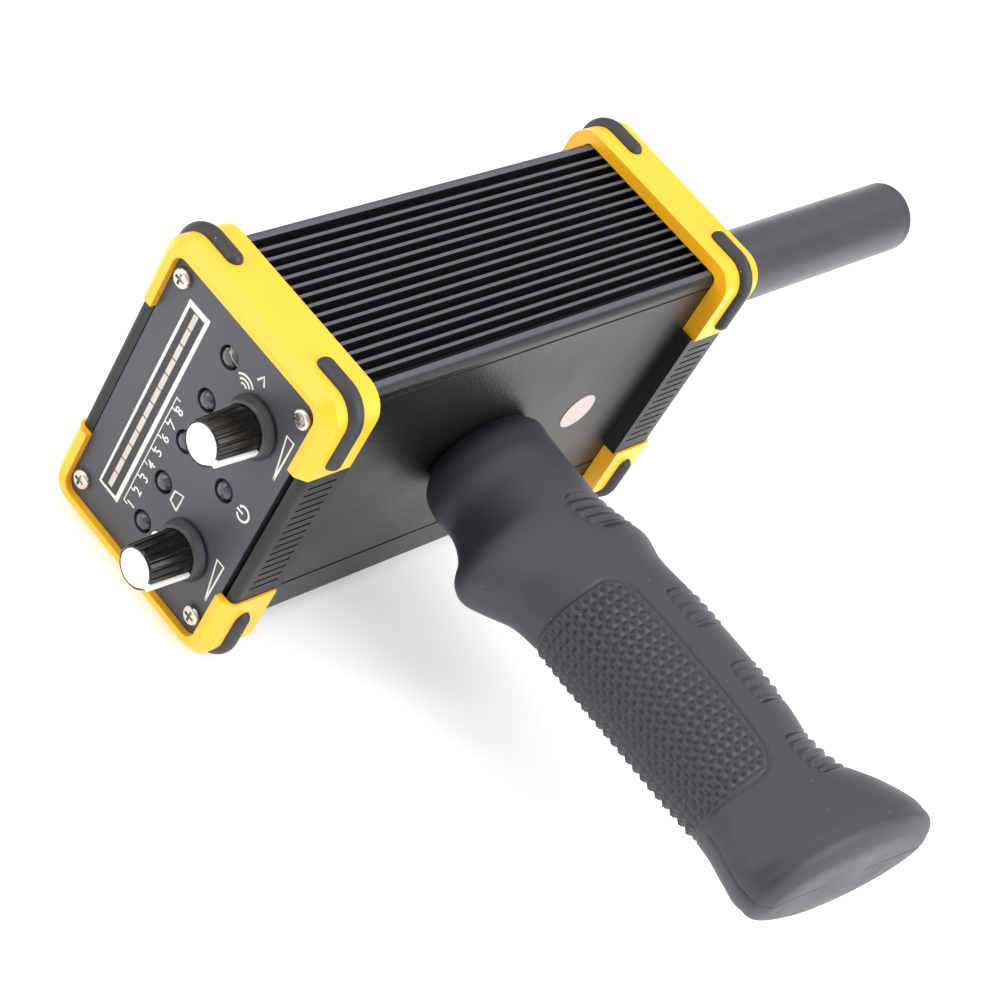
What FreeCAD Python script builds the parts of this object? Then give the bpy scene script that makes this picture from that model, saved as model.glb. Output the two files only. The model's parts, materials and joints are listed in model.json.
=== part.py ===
import FreeCAD, Part
import math
import os
from FreeCAD import Placement, Rotation, Vector

# Handheld metal locator lying on its left side.
# +Y runs forward along the sensing tube, +X runs down the grip, +Z is the operator's right.
# The origin is where the tube's axis meets the outer face of the rear panel.

SIZES = {
    # Case: an extruded aluminium box in two finned halves, closed by two panels.
    "case_half_tall": (25.5, "half of the case across X"),
    "case_half_wide": (40.1, "half of the case across Z, over the fin tips"),
    "case_corner": (2.0, "outer corner radius of the extrusion"),
    "case_wall": (2.2, "thickness of the top and bottom walls"),
    "case_long": (153.3, "front panel face to rear panel face"),
    "panel_thick": (2.0, "thickness of the end panels"),
    "panel_corner": (3.4, "corner radius of the end panels"),
    "fin_deep": (3.2, "height of a cooling fin"),
    "fin_thick": (0.9, "thickness of a cooling fin"),
    "fin_pitch": (3.0, "distance from fin to fin"),
    "fin_border": (22.5, "half of the finned band across X"),
    "web_thick": (1.6, "wall left behind the fins"),
    "port_tall": (22.1, "end screw place across X"),
    "port_wide": (34.0, "end screw place across Z"),
    "port_radius": (2.6, "radius of a screw port in the extrusion"),
    "port_bore": (1.25, "radius of the screw port's pilot hole"),
    "groove_right": (36.6, "place of the line along the bottom, right of the grip"),
    "groove_deep": (0.35, "depth of the lines along the bottom"),
    "groove_wide": (0.6, "width of the lines along the bottom"),
    "groove_left": (29.2, "place of the line along the bottom, left of the grip"),
    # Ends: black ribbed frame, yellow corner guards, rubber bumper strips.
    "frame_deep": (12.4, "length of an end frame under the guards"),
    "pad_deep": (14.9, "length of an end frame's ribbed pads"),
    "frame_half_tall": (28.0, "half of an end frame across X, under the guards"),
    "frame_half_wide": (41.3, "half of an end frame across Z, under the guards"),
    "frame_pad_tall": (29.75, "half of an end frame across X, over its ribbed pads"),
    "frame_mouth_tall": (27.2, "half of the recess round the panel across X"),
    "frame_mouth_deep": (4.0, "depth of the recess round the panel"),
    "rib_pitch": (2.5, "distance from rib to rib on a pad"),
    "rib_gap": (0.6, "width of the slot between ribs"),
    "rib_deep": (0.9, "depth of the slot between ribs"),
    "rib_long": (9.0, "length of the slot between ribs"),
    "rib_start": (3.4, "distance from the frame's outer face to a slot"),
    "guard_half_tall": (30.3, "half of the guards across X"),
    "guard_half_wide": (43.6, "half of the guards across Z"),
    "guard_corner": (7.0, "outer corner radius of a guard"),
    "guard_lip": (1.9, "how far a guard stands in front of the panel"),
    "guard_deep": (13.8, "guard length behind the panel face"),
    "guard_fit": (0.1, "gap between the guards' inner lip and the case"),
    "guard_tip": (21.8, "distance from the axis to the guard's tip across Z"),
    "guard_soft": (2.4, "size of the bevel on the guard's outer edge"),
    "guard_mouth_tall": (25.6, "half of the opening of the guards across X"),
    "guard_mouth_wide": (39.4, "half of the opening of the guards across Z"),
    "bumper_radius": (2.3, "radius of a bumper strip's round back"),
    "bumper_stand": (1.9, "how far a bumper stands proud of its guard"),
    "bumper_seat": (1.3, "how deep a bumper sits in its guard"),
    "bumper_place": (6.0, "bumper centre line behind the panel face"),
    "bumper_end_tall": (16.9, "end of the bumper's centre line across X"),
    "bumper_end_right": (26.4, "end of a right bumper's centre line across Z"),
    "bumper_end_left": (28.9, "end of a left bumper's centre line across Z"),
    # Fasteners.
    "screw_head": (2.6, "radius of a pan head"),
    "screw_high": (1.5, "height of a pan head"),
    "screw_shank": (1.2, "radius of a panel screw's shank"),
    "screw_long": (9.0, "length of a panel screw under the head"),
    "screw_clear": (1.65, "radius of a screw's clearance hole"),
    "recess_wide": (0.75, "width of a cross recess"),
    "recess_long": (3.0, "length of a cross recess"),
    "recess_deep": (0.9, "depth of a cross recess"),
    # Level display.
    "bar_low_wide": (-29.2, "display end nearest the first step, across Z"),
    "bar_high_wide": (29.9, "display end nearest the last step, across Z"),
    "bar_top": (-17.2, "upper edge of the display across X"),
    "bar_bottom": (-12.0, "lower edge of the display across X"),
    "step_first": (-26.1, "centre of the first step across Z"),
    "step_pitch": (4.83, "distance from step to step"),
    "step_long": (4.5, "length of a step"),
    "step_tall": (1.5, "height of a step"),
    "step_line": (-14.7, "centre line of the steps across X"),
    "step_deep": (0.8, "depth of a step's diffuser"),
    # Lamps.
    "lamp_radius": (2.5, "radius of a lamp's dome"),
    "lamp_hole": (2.98, "radius of a lamp's hole in the panel"),
    "lamp_flange": (2.9, "radius of a lamp's flange"),
    "lamp_row": (-2.1, "place of the lamp row across X"),
    "lamp_first": (-27.4, "first lamp of the row across Z"),
    "lamp_pitch": (14.0, "distance from lamp to lamp"),
    "lamp_long": (8.6, "length of a lamp's body"),
    "lead_radius": (0.25, "radius of a lamp's lead"),
    "power_lamp_tall": (13.1, "power lamp across X"),
    "power_lamp_wide": (0.2, "power lamp across Z"),
    # Rotary controls.
    "dial_tall": (11.75, "control shaft place across X"),
    "dial_right": (20.6, "right control shaft place across Z"),
    "dial_left": (-21.9, "left control shaft place across Z"),
    "dial_turn": (-11.0, "angle of the pointer from straight down, at rest"),
    "shaft_radius": (3.0, "radius of a control shaft"),
    "bush_bore": (3.05, "radius of the bore of a control bush"),
    "bush_radius": (3.5, "radius of a control bush"),
    "bush_long": (5.0, "length of a control bush in front of its case"),
    "pot_radius": (8.2, "radius of a control's case"),
    "pot_deep": (8.4, "depth of a control's case"),
    "nut_flats": (9.0, "width across the flats of a control's nut"),
    "nut_high": (1.8, "height of a control's nut"),
    "washer_radius": (5.3, "radius of a control's washer"),
    "washer_high": (0.5, "height of a control's washer"),
    "knob_gap": (0.6, "gap between a knob and the panel"),
    "knob_skirt": (7.65, "radius of a knob's skirt"),
    "knob_skirt_top": (6.4, "radius where the skirt meets the body"),
    "knob_skirt_high": (2.7, "height of a knob's skirt"),
    "knob_body": (5.9, "radius of a knob's body at the skirt"),
    "knob_top": (5.45, "radius of a knob's body at the top"),
    "knob_high": (15.1, "height of a knob"),
    "knob_recess": (5.75, "radius of the hollow under a knob"),
    "knob_flute": (0.42, "radius of a flute in a knob"),
    "marker_radius": (4.75, "radius of a knob's white disc"),
    "marker_wide": (1.7, "width of a knob's pointer line"),
    "marker_thick": (0.5, "thickness of a knob's white insert"),
    # Boards and power.
    "board_thick": (1.6, "thickness of a circuit board"),
    "panel_board_tall": (19.2, "half of the panel board across X"),
    "panel_board_wide": (33.0, "half of the panel board across Z"),
    "spacer_radius": (1.9, "radius of a spacer"),
    "spacer_wide": (30.6, "spacer place across Z"),
    "spacer_low": (17.0, "lower spacer place across X"),
    "spacer_high": (-7.8, "upper spacer place across X"),
    "main_board_place": (-10.0, "top face of the main board across X"),
    "main_board_front": (-136.0, "main board's front edge along Y"),
    "main_board_rear": (-22.0, "main board's rear edge along Y"),
    "main_board_wide": (34.9, "half of the main board across Z"),
    "rail_wide": (33.6, "inner edge of a board rail across Z"),
    "rail_thick": (1.2, "thickness of a board rail"),
    "spacer_bore": (1.25, "radius of a spacer's bore"),
    "board_hole": (1.6, "radius of a hole in the panel board"),
    "board_head": (2.4, "radius of a board screw's head"),
    "board_head_high": (1.6, "height of a board screw's head"),
    "board_screw_deep": (4.0, "how far a board screw runs into its spacer"),
    "chip_high": (1.6, "height of a chip"),
    "processor_side": (14.0, "side of the processor"),
    "processor_front": (-96.0, "processor's front edge along Y"),
    "amplifier_side": (5.0, "side of the amplifier"),
    "amplifier_front": (-58.0, "amplifier's front edge along Y"),
    "amplifier_wide": (12.0, "amplifier's inner edge across Z"),
    "buzzer_radius": (6.0, "radius of the buzzer"),
    "buzzer_high": (8.0, "height of the buzzer"),
    "buzzer_place": (-120.0, "buzzer's place along Y"),
    "buzzer_wide": (18.0, "buzzer's place left of the middle"),
    "capacitor_radius": (4.0, "radius of a capacitor"),
    "capacitor_high": (11.0, "height of a capacitor"),
    "capacitor_first": (-120.0, "first capacitor along Y"),
    "capacitor_pitch": (12.0, "distance from capacitor to capacitor"),
    "capacitor_wide": (24.0, "capacitors' place across Z"),
    "connector_high": (6.0, "height of the signal connector"),
    "connector_front": (-34.0, "signal connector's front edge along Y"),
    "connector_long": (6.0, "length of the signal connector along Y"),
    "connector_wide": (6.0, "half of the signal connector across Z"),
    "cell_radius": (9.1, "radius of a battery cell"),
    "cell_fit": (0.1, "gap between a cell and its tray"),
    "cell_button": (3.0, "radius of a cell's button"),
    "button_high": (1.5, "height of a cell's button, half of it sunk"),
    "contact_foot": (4.5, "radius of a contact spring's foot"),
    "contact_tip": (2.5, "radius of a contact spring's tip"),
    "contact_long": (3.0, "length of a contact spring"),
    "cell_long": (65.0, "length of a battery cell"),
    "cell_wide": (20.2, "cell place across Z"),
    "cell_tall": (11.2, "cell place across X"),
    "cell_front": (-113.0, "front end of the cells along Y"),
    "tray_wall": (1.6, "thickness of the battery holder's ends"),
    "tray_side": (0.5, "thickness of the battery holder's sides"),
    # Sensing tube.
    "tube_radius": (10.3, "outer radius of the sensing tube"),
    "tube_bore": (8.7, "inner radius of the sensing tube"),
    "tube_long": (128.4, "free length of the tube with its end cap"),
    "cap_high": (2.6, "thickness of the end cap"),
    "cap_soft": (0.9, "edge radius of the end cap"),
    "socket_thread": (7.0, "radius of the tube socket's thread"),
    "socket_bore": (3.5, "radius of the wire way through the socket"),
    "spigot_long": (8.0, "length of the end cap's spigot inside the tube"),
    "plug_long": (12.0, "length of the socket's plug inside the tube"),
    "thread_long": (9.0, "length of the socket's thread behind the rear panel"),
    "tube_nut_flats": (20.0, "width across the flats of the tube's nut"),
    "tube_nut_high": (6.0, "height of the tube's nut"),
    "core_start": (16.0, "near end of the coil's core along Y"),
    "coil_start": (26.0, "near end of the sensing coil along Y"),
    "collar_start": (17.0, "near end of the first collar along Y"),
    "collar_long": (6.0, "length of a collar"),
    "core_radius": (4.0, "radius of the sensing coil's core"),
    "core_long": (96.0, "length of the sensing coil's core"),
    "coil_radius": (5.2, "radius of the sensing coil"),
    "coil_long": (74.0, "length of the sensing coil"),
    # Grip.
    "grip_centre": (-80.0, "grip bolt's place along Y"),
    "grip_core_deep": (10.0, "half of the grip's core along Y"),
    "grip_core_wide": (8.5, "half of the grip's core across Z"),
    "grip_core_end": (150.0, "lower end of the grip's core across X"),
    "grip_bolt": (3.0, "radius of the grip bolt"),
    "grip_bolt_low": (62.0, "lower end of the grip bolt across X"),
    "grip_bolt_high": (12.0, "upper end of the grip bolt across X"),
    "grip_core_corner": (6.0, "corner radius of the grip's core"),
    "grip_plate": (1.8, "thickness of the grip's backing plate"),
    "grip_plate_long": (15.0, "half of the backing plate along Y"),
    "grip_plate_wide": (8.6, "half of the backing plate across Z"),
    "grip_washer": (6.0, "radius of the grip bolt's washer"),
    "grip_washer_high": (1.2, "thickness of the grip bolt's washer"),
    "grip_nut_round": (5.77, "radius over the corners of the grip bolt's nut"),
    "grip_nut_high": (5.0, "height of the grip bolt's nut"),
    # Badge.
    "badge_radius": (5.7, "radius of the round blank badge"),
    "badge_place": (-40.6, "badge centre along Y"),
    "badge_thick": (0.15, "thickness of the badge"),
}

# Rubber sleeve: distance below the tube's axis, centre along Y, half depth, half width, tilt.
GRIP_STATIONS = (
    (25.5, -77.8, 16.2, 10.3, 0),
    (29.0, -79.6, 19.0, 13.2, 0),
    (34.5, -81.4, 19.8, 14.2, 0),
    (42.5, -82.0, 19.8, 14.1, 0),
    (50.0, -84.4, 22.4, 14.2, 0),
    (54.5, -87.3, 25.1, 14.4, 0),
    (58.5, -87.6, 26.2, 14.6, 0),
    (62.5, -85.7, 25.4, 14.8, 0),
    (68.0, -82.6, 23.7, 15.0, 0),
    (75.0, -82.6, 21.9, 14.6, 0),
    (86.0, -82.5, 22.1, 15.0, 0),
    (102.0, -82.6, 22.3, 15.1, 0),
    (123.0, -83.6, 21.9, 14.8, 0),
    (134.0, -84.5, 21.2, 14.3, 0),
    (140.0, -83.9, 22.4, 14.5, 1),
    (148.5, -81.0, 27.4, 15.8, 3.5),
    (156.4, -79.4, 30.1, 16.4, 6.5),
    (160.4, -79.4, 28.9, 14.7, 6.8),
    (162.0, -79.5, 26.0, 11.6, 6.8),
)

FIN_COUNT = 14
RIB_COUNT = 15
STEP_COUNT = 12
LAMP_COUNT = 5
FLUTE_COUNT = 18
CAPACITOR_COUNT = 3

AXIS_TURN = {
    "X": Rotation(Vector(0, 1, 0), 90),
    "Y": Rotation(Vector(1, 0, 0), -90),
    "Z": Rotation(),
}

doc = FreeCAD.newDocument("MetalLocator")
sheet = doc.addObject("Spreadsheet::Sheet", "Sizes")
for row, (alias, (value, meaning)) in enumerate(SIZES.items(), start=1):
    sheet.set("A%d" % row, alias)
    sheet.set("B%d" % row, str(value))
    sheet.set("C%d" % row, meaning)
    sheet.setAlias("B%d" % row, alias)
doc.recompute()

nodes = []


def size(alias):
    """Return a driving size from the sheet."""
    return float(sheet.get(alias))


def bound(text):
    """Return an expression with each alias pointed at the sheet."""
    words = []
    for word in str(text).replace("(", " ( ").replace(")", " ) ").split():
        words.append("Sizes." + word if word in SIZES else word)
    return " ".join(words)


def bind(thing, **places):
    """Bind properties of an object to expressions of the sheet's aliases."""
    for name, text in places.items():
        thing.setExpression(name.replace("__", "."), bound(text))


def place(thing, where):
    """Bind an object's position to three expressions."""
    for axis, text in zip("xyz", where):
        bind(thing, **{"Placement__Base__" + axis: text})


def block(name, low, high):
    """Add a box between two corners."""
    thing = doc.addObject("Part::Box", name)
    for side, start, end in zip(("Length", "Width", "Height"), low, high):
        bind(thing, **{side: "( %s ) - ( %s )" % (end, start)})
    place(thing, low)
    return thing


def rod(name, axis, where, radius, length):
    """Add a cylinder that starts at a place and runs along a positive axis."""
    thing = doc.addObject("Part::Cylinder", name)
    thing.Placement = Placement(Vector(), AXIS_TURN[axis])
    bind(thing, Radius=radius, Height=length)
    place(thing, where)
    return thing


def cone(name, axis, where, first, second, length):
    """Add a cone that starts at a place and runs along a positive axis."""
    thing = doc.addObject("Part::Cone", name)
    thing.Placement = Placement(Vector(), AXIS_TURN[axis])
    bind(thing, Radius1=first, Radius2=second, Height=length)
    place(thing, where)
    return thing


def ball(name, where, radius):
    """Add a sphere."""
    thing = doc.addObject("Part::Sphere", name)
    bind(thing, Radius=radius)
    place(thing, where)
    return thing


def fuse(name, pieces):
    """Join pieces into one object."""
    thing = doc.addObject("Part::MultiFuse", name)
    thing.Shapes = pieces
    return thing


def cut(name, base, tools):
    """Take one or more tools away from a base."""
    tool = tools[0] if len(tools) == 1 else fuse(name + "_tools", tools)
    thing = doc.addObject("Part::Cut", name)
    thing.Base = base
    thing.Tool = tool
    return thing


def common(name, base, tool):
    """Keep what two objects share."""
    thing = doc.addObject("Part::Common", name)
    thing.Base = base
    thing.Tool = tool
    return thing


def node(thing, label):
    """Give an object its node name and put it on the list of sub-parts."""
    thing.Label = label
    nodes.append(thing)
    return thing


def group(label, pieces):
    """Collect separate pieces of one kind in one node."""
    thing = doc.addObject("Part::Compound", label + "_group")
    thing.Links = pieces
    return node(thing, label)


def prism(name, half_tall, half_wide, corner, start, end, soft=None):
    """Add a rounded block about the Y axis, with a bevel round one end face if asked."""
    body = doc.addObject("PartDesign::Body", name)
    solid = body.newObject("PartDesign::AdditiveBox", name + "_box")
    bind(solid, Length="2 * ( %s )" % half_tall, Width="( %s ) - ( %s )" % (end, start))
    bind(solid, Height="2 * ( %s )" % half_wide)
    doc.recompute()
    uprights = []
    for index, edge in enumerate(solid.Shape.Edges, start=1):
        direction = edge.tangentAt(edge.FirstParameter)
        if abs(direction.y) > 0.99:
            uprights.append("Edge%d" % index)
    rounding = body.newObject("PartDesign::Fillet", name + "_corners")
    rounding.Base = (solid, uprights)
    bind(rounding, Radius=corner)
    doc.recompute()
    if soft is not None:
        face_place, radius = soft
        rim = []
        level = 0.0 if face_place == "start" else solid.Width.Value
        for index, edge in enumerate(rounding.Shape.Edges, start=1):
            if all(abs(corner_point.Point.y - level) < 1e-6 for corner_point in edge.Vertexes):
                rim.append("Edge%d" % index)
        easing = body.newObject("PartDesign::Chamfer", name + "_edge")
        easing.Base = (rounding, rim)
        bind(easing, Size=radius)
        doc.recompute()
    place(body, ("0 - ( %s )" % half_tall, start, "0 - ( %s )" % half_wide))
    return body


def hexagon(name, where, flats, height):
    """Add a hexagonal prism that starts at a place and runs along +Y."""
    outline = doc.addObject("Part::Prism", name)
    outline.Polygon = 6
    outline.Placement = Placement(Vector(), AXIS_TURN["Y"])
    bind(outline, Circumradius="( %s ) / 1.7320508" % flats, Height=height)
    place(outline, where)
    return outline


# ---------------------------------------------------------------- case

PANEL_FRONT = "0 - case_long"
SHELL_FRONT = "panel_thick - case_long"
SHELL_REAR = "0 - panel_thick"


def port_places():
    """Return the four end screw places as expressions across X and Z."""
    places = []
    for tall in ("port_tall", "0 - port_tall"):
        for wide in ("port_wide", "0 - port_wide"):
            places.append((tall, wide))
    return places


def case_extrusion():
    """Return the whole finned extrusion, before it is split."""
    outer = prism("case_outer", "case_half_tall", "case_half_wide", "case_corner", SHELL_FRONT, SHELL_REAR)
    inner_wide = "case_half_wide - fin_deep - web_thick"
    hollow = prism("case_hollow", "case_half_tall - case_wall", inner_wide, "case_corner / 2",
                   "%s - 1" % SHELL_FRONT, "%s + 1" % SHELL_REAR)
    tools = [hollow]
    for side in ("", "0 - "):
        face = "case_half_wide - fin_deep" if side == "" else "0 - case_half_wide - 1"
        top = "case_half_wide + 1" if side == "" else "fin_deep - case_half_wide"
        tools.append(block("fin_band", ("0 - fin_border", "%s - 1" % SHELL_FRONT, face),
                           ("fin_border", "%s + 1" % SHELL_REAR, top)))
    for line in ("groove_right", "0 - groove_left"):
        low = ("case_half_tall - groove_deep", "%s - 1" % SHELL_FRONT, "%s - groove_wide / 2" % line)
        high = ("case_half_tall + 1", "%s + 1" % SHELL_REAR, "%s + groove_wide / 2" % line)
        tools.append(block("bottom_line", low, high))
    pieces = [cut("case_bare", outer, tools)]
    for number in range(FIN_COUNT):
        centre = "fin_pitch * %.1f" % (number - (FIN_COUNT - 1) / 2)
        low, high = "%s - fin_thick / 2" % centre, "%s + fin_thick / 2" % centre
        pieces.append(block("fin", (low, SHELL_FRONT, "case_half_wide - fin_deep"),
                            (high, SHELL_REAR, "case_half_wide")))
        pieces.append(block("fin", (low, SHELL_FRONT, "0 - case_half_wide"),
                            (high, SHELL_REAR, "fin_deep - case_half_wide")))
    for tall, wide in port_places():
        pieces.append(rod("port", "Y", (tall, SHELL_FRONT, wide), "port_radius",
                          "case_long - 2 * panel_thick"))
    for level in ("main_board_place - rail_thick - 0.1", "main_board_place + board_thick + 0.1"):
        pieces.append(block("rail", (level, SHELL_FRONT, "rail_wide"),
                            ("%s + rail_thick" % level, SHELL_REAR, "%s + 0.5" % inner_wide)))
        pieces.append(block("rail", (level, SHELL_FRONT, "0 - ( %s ) - 0.5" % inner_wide),
                            ("%s + rail_thick" % level, SHELL_REAR, "0 - rail_wide")))
    ribbed = fuse("case_ribbed", pieces)
    bores = []
    for tall, wide in port_places():
        bores.append(rod("port_bore_hole", "Y", (tall, "%s - 1" % SHELL_FRONT, wide), "port_bore",
                         "case_long"))
    bores.append(rod("grip_hole", "X", ("case_half_tall - case_wall - 1", "grip_centre", "0"),
                     "grip_bolt + 0.2", "case_wall + 2"))
    return cut("case_whole", ribbed, bores)


extrusion = case_extrusion()
upper_space = block("upper_space", ("0 - case_half_tall - 1", "0 - case_long", "0 - case_half_wide - 1"),
                    ("0", "1", "case_half_wide + 1"))
lower_space = block("lower_space", ("0", "0 - case_long", "0 - case_half_wide - 1"),
                    ("case_half_tall + 1", "1", "case_half_wide + 1"))
node(common("upper_shell_part", extrusion, upper_space), "upper_shell")
node(common("lower_shell_part", extrusion, lower_space), "lower_shell")


def lamp_places():
    """Return the lamp places as expressions across X and Z, the power lamp last."""
    places = []
    for number in range(LAMP_COUNT):
        places.append(("lamp_row", "lamp_first + lamp_pitch * %d" % number))
    places.append(("power_lamp_tall", "power_lamp_wide"))
    return places


def end_panel(name, start):
    """Return an end panel with its four screw holes."""
    plate = prism(name + "_plate", "guard_mouth_tall", "case_half_wide", "panel_corner", start,
                  "%s + panel_thick" % start)
    return plate, [rod(name + "_hole", "Y", (tall, "%s - 1" % start, wide), "screw_clear", "panel_thick + 2")
                   for tall, wide in port_places()]


plate, holes = end_panel("front_panel", PANEL_FRONT)
for tall, wide in lamp_places():
    holes.append(rod("lamp_opening", "Y", (tall, "%s - 1" % PANEL_FRONT, wide), "lamp_hole",
                     "panel_thick + 2"))
for wide in ("dial_right", "dial_left"):
    holes.append(rod("dial_opening", "Y", ("dial_tall", "%s - 1" % PANEL_FRONT, wide), "bush_radius + 0.1",
                     "panel_thick + 2"))
holes.append(block("bar_opening", ("bar_top", "%s - 1" % PANEL_FRONT, "bar_low_wide"),
                   ("bar_bottom", "%s + panel_thick + 1" % PANEL_FRONT, "bar_high_wide")))
node(cut("front_panel_part", plate, holes), "front_panel")

plate, holes = end_panel("rear_panel", "0 - panel_thick")
holes.append(rod("socket_opening", "Y", ("0", "0 - panel_thick - 1", "0"), "socket_thread + 0.1",
                 "panel_thick + 2"))
node(cut("rear_panel_part", plate, holes), "rear_panel")


# ---------------------------------------------------------------- ends

def along(end, distance):
    """Return a place along Y, measured into the case from one end's panel face."""
    return "( %s ) - case_long" % distance if end == "front" else "0 - ( %s )" % distance


def span(end, near, far):
    """Return the lower and the higher of two places along Y, measured into the case."""
    first, second = along(end, near), along(end, far)
    return (first, second) if end == "front" else (second, first)


def end_frame(end):
    """Add the black frame of one end: a ring round the case, with two ribbed pads."""
    low, high = span(end, "0", "frame_deep")
    ring = prism(end + "_ring", "frame_half_tall", "frame_half_wide", "guard_corner - 2.3", low, high)
    pieces = [ring]
    pad_low, pad_high = span(end, "0", "pad_deep")
    pad_spans = {1: ("case_half_tall - 1", "frame_pad_tall"),
                 -1: ("0 - frame_pad_tall", "1 - case_half_tall")}
    for side in (1, -1):
        near, far = pad_spans[side]
        pad = block("%s_pad" % end, (near, pad_low, "0 - guard_tip"), (far, pad_high, "guard_tip"))
        doc.recompute()
        outer = side * size("frame_pad_tall")
        face = min(pad.Shape.Faces, key=lambda f: f.CenterOfMass.y) if end == "front" else \
            max(pad.Shape.Faces, key=lambda f: f.CenterOfMass.y)
        picks = []
        for index, line in enumerate(pad.Shape.Edges, start=1):
            middle = line.CenterOfMass
            if abs(middle.x - outer) < 1e-6 and abs(middle.y - face.CenterOfMass.y) < 1e-6:
                picks.append((index, 1.7, 1.7))
        eased = doc.addObject("Part::Fillet", "%s_pad_eased" % end)
        eased.Base = pad
        eased.Edges = picks
        pieces.append(eased)
    solid = fuse(end + "_frame_solid", pieces)
    inside_low, inside_high = span(end, "frame_mouth_deep", "pad_deep + 1")
    mouth_low, mouth_high = span(end, "0 - 1", "frame_mouth_deep")
    tools = [prism(end + "_frame_bore", "case_half_tall", "case_half_wide", "case_corner",
                   inside_low, inside_high),
             prism(end + "_frame_mouth", "frame_mouth_tall", "case_half_wide", "panel_corner",
                   mouth_low, mouth_high)]
    slot_low, slot_high = span(end, "rib_start", "rib_start + rib_long")
    for number in range(RIB_COUNT):
        centre = "rib_pitch * %d" % (number - RIB_COUNT // 2)
        left, right = "%s - rib_gap / 2" % centre, "%s + rib_gap / 2" % centre
        tools.append(block("rib_slot", ("frame_pad_tall - rib_deep", slot_low, left),
                           ("frame_pad_tall + 1", slot_high, right)))
        tools.append(block("rib_slot", ("0 - frame_pad_tall - 1", slot_low, left),
                           ("rib_deep - frame_pad_tall", slot_high, right)))
    return node(cut(end + "_frame_part", solid, tools), end + "_frame")


def bumper(end, tall_sign, wide_sign):
    """Return one rubber strip that wraps a corner of the guards at one end."""
    level = along(end, "bumper_place")
    reach = "bumper_stand - bumper_radius"
    tall_line = "guard_half_tall + %s" % reach
    wide_line = "guard_half_wide + %s" % reach
    bend = "guard_corner + %s" % reach
    tall_bend, wide_bend = "%s - ( %s )" % (tall_line, bend), "%s - ( %s )" % (wide_line, bend)

    def signed(sign, text):
        return text if sign > 0 else "0 - ( %s )" % text

    end_wide = "bumper_end_right" if wide_sign > 0 else "bumper_end_left"
    ends = [("bumper_end_tall", wide_line), (tall_line, end_wide)]
    side_start = "bumper_end_tall" if tall_sign > 0 else "0 - ( %s )" % tall_bend
    flat_start = end_wide if wide_sign > 0 else "0 - ( %s )" % wide_bend
    pieces = [
        rod("bumper_side", "X", (side_start, level, signed(wide_sign, wide_line)), "bumper_radius",
            "%s - bumper_end_tall" % tall_bend),
        rod("bumper_flat", "Z", (signed(tall_sign, tall_line), level, flat_start), "bumper_radius",
            "%s - %s" % (wide_bend, end_wide)),
    ]
    for tall, wide in ends:
        pieces.append(ball("bumper_tip", (signed(tall_sign, tall), level, signed(wide_sign, wide)),
                           "bumper_radius"))
    corner = doc.addObject("Part::Torus", "bumper_bend")
    first = {(1, 1): 0, (-1, 1): 90, (-1, -1): 180, (1, -1): 270}[(tall_sign, wide_sign)]
    turn = Rotation(Vector(1, 0, 0), 90).multiply(Rotation(Vector(0, 0, 1), first))
    corner.Placement = Placement(Vector(), turn)
    corner.Angle3 = 90
    bind(corner, Radius1=bend, Radius2="bumper_radius")
    place(corner, (signed(tall_sign, tall_bend), level, signed(wide_sign, wide_bend)))
    pieces.append(corner)
    return fuse("bumper_rod", pieces)


for end in ("front", "rear"):
    end_frame(end)
    guard_low, guard_high = span(end, "0 - guard_lip", "guard_deep")
    soft = ("start" if end == "front" else "end", "guard_soft")
    skin = prism(end + "_guard_skin", "guard_half_tall", "guard_half_wide", "guard_corner", guard_low,
                 guard_high, soft)
    hollow_low, hollow_high = span(end, "0", "frame_deep")
    throat_low, throat_high = span(end, "frame_deep - 1", "guard_deep + 1")
    mouth_low, mouth_high = span(end, "0 - guard_lip - 1", "1")
    tools = [prism(end + "_guard_hollow", "frame_half_tall", "frame_half_wide", "guard_corner - 2.3",
                   hollow_low, hollow_high),
             prism(end + "_guard_mouth", "guard_mouth_tall", "guard_mouth_wide", "panel_corner",
                   mouth_low, mouth_high),
             prism(end + "_guard_throat", "case_half_tall + guard_fit", "case_half_wide + guard_fit",
                   "case_corner", throat_low, throat_high)]
    seat_low, seat_high = span(end, "0 - 1", "guard_deep")
    seat = prism(end + "_bumper_seat", "guard_half_tall - bumper_seat", "guard_half_wide - bumper_seat",
                 "guard_corner - bumper_seat", seat_low, seat_high)
    for wide_sign, side in ((1, "right"), (-1, "left")):
        for tall_sign, height in ((-1, "upper"), (1, "lower")):
            strip = bumper(end, tall_sign, wide_sign)
            tools.append(strip)
            label = "_".join(("bumper", end, side, height))
            node(cut(label + "_part", strip, [seat]), label)
    shell = cut(end + "_guard_ring", skin, tools)
    for side, low, high in (("right", "guard_tip", "guard_half_wide + 9"),
                            ("left", "0 - guard_half_wide - 9", "0 - guard_tip")):
        keep = block("%s_%s_space" % (end, side), ("0 - guard_half_tall - 9", "%s - 9" % guard_low, low),
                     ("guard_half_tall + 9", "%s + 9" % guard_high, high))
        node(common("%s_%s_guard_part" % (end, side), shell, keep), "%s_guard_%s" % (end, side))


# ---------------------------------------------------------------- panel screws

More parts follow.
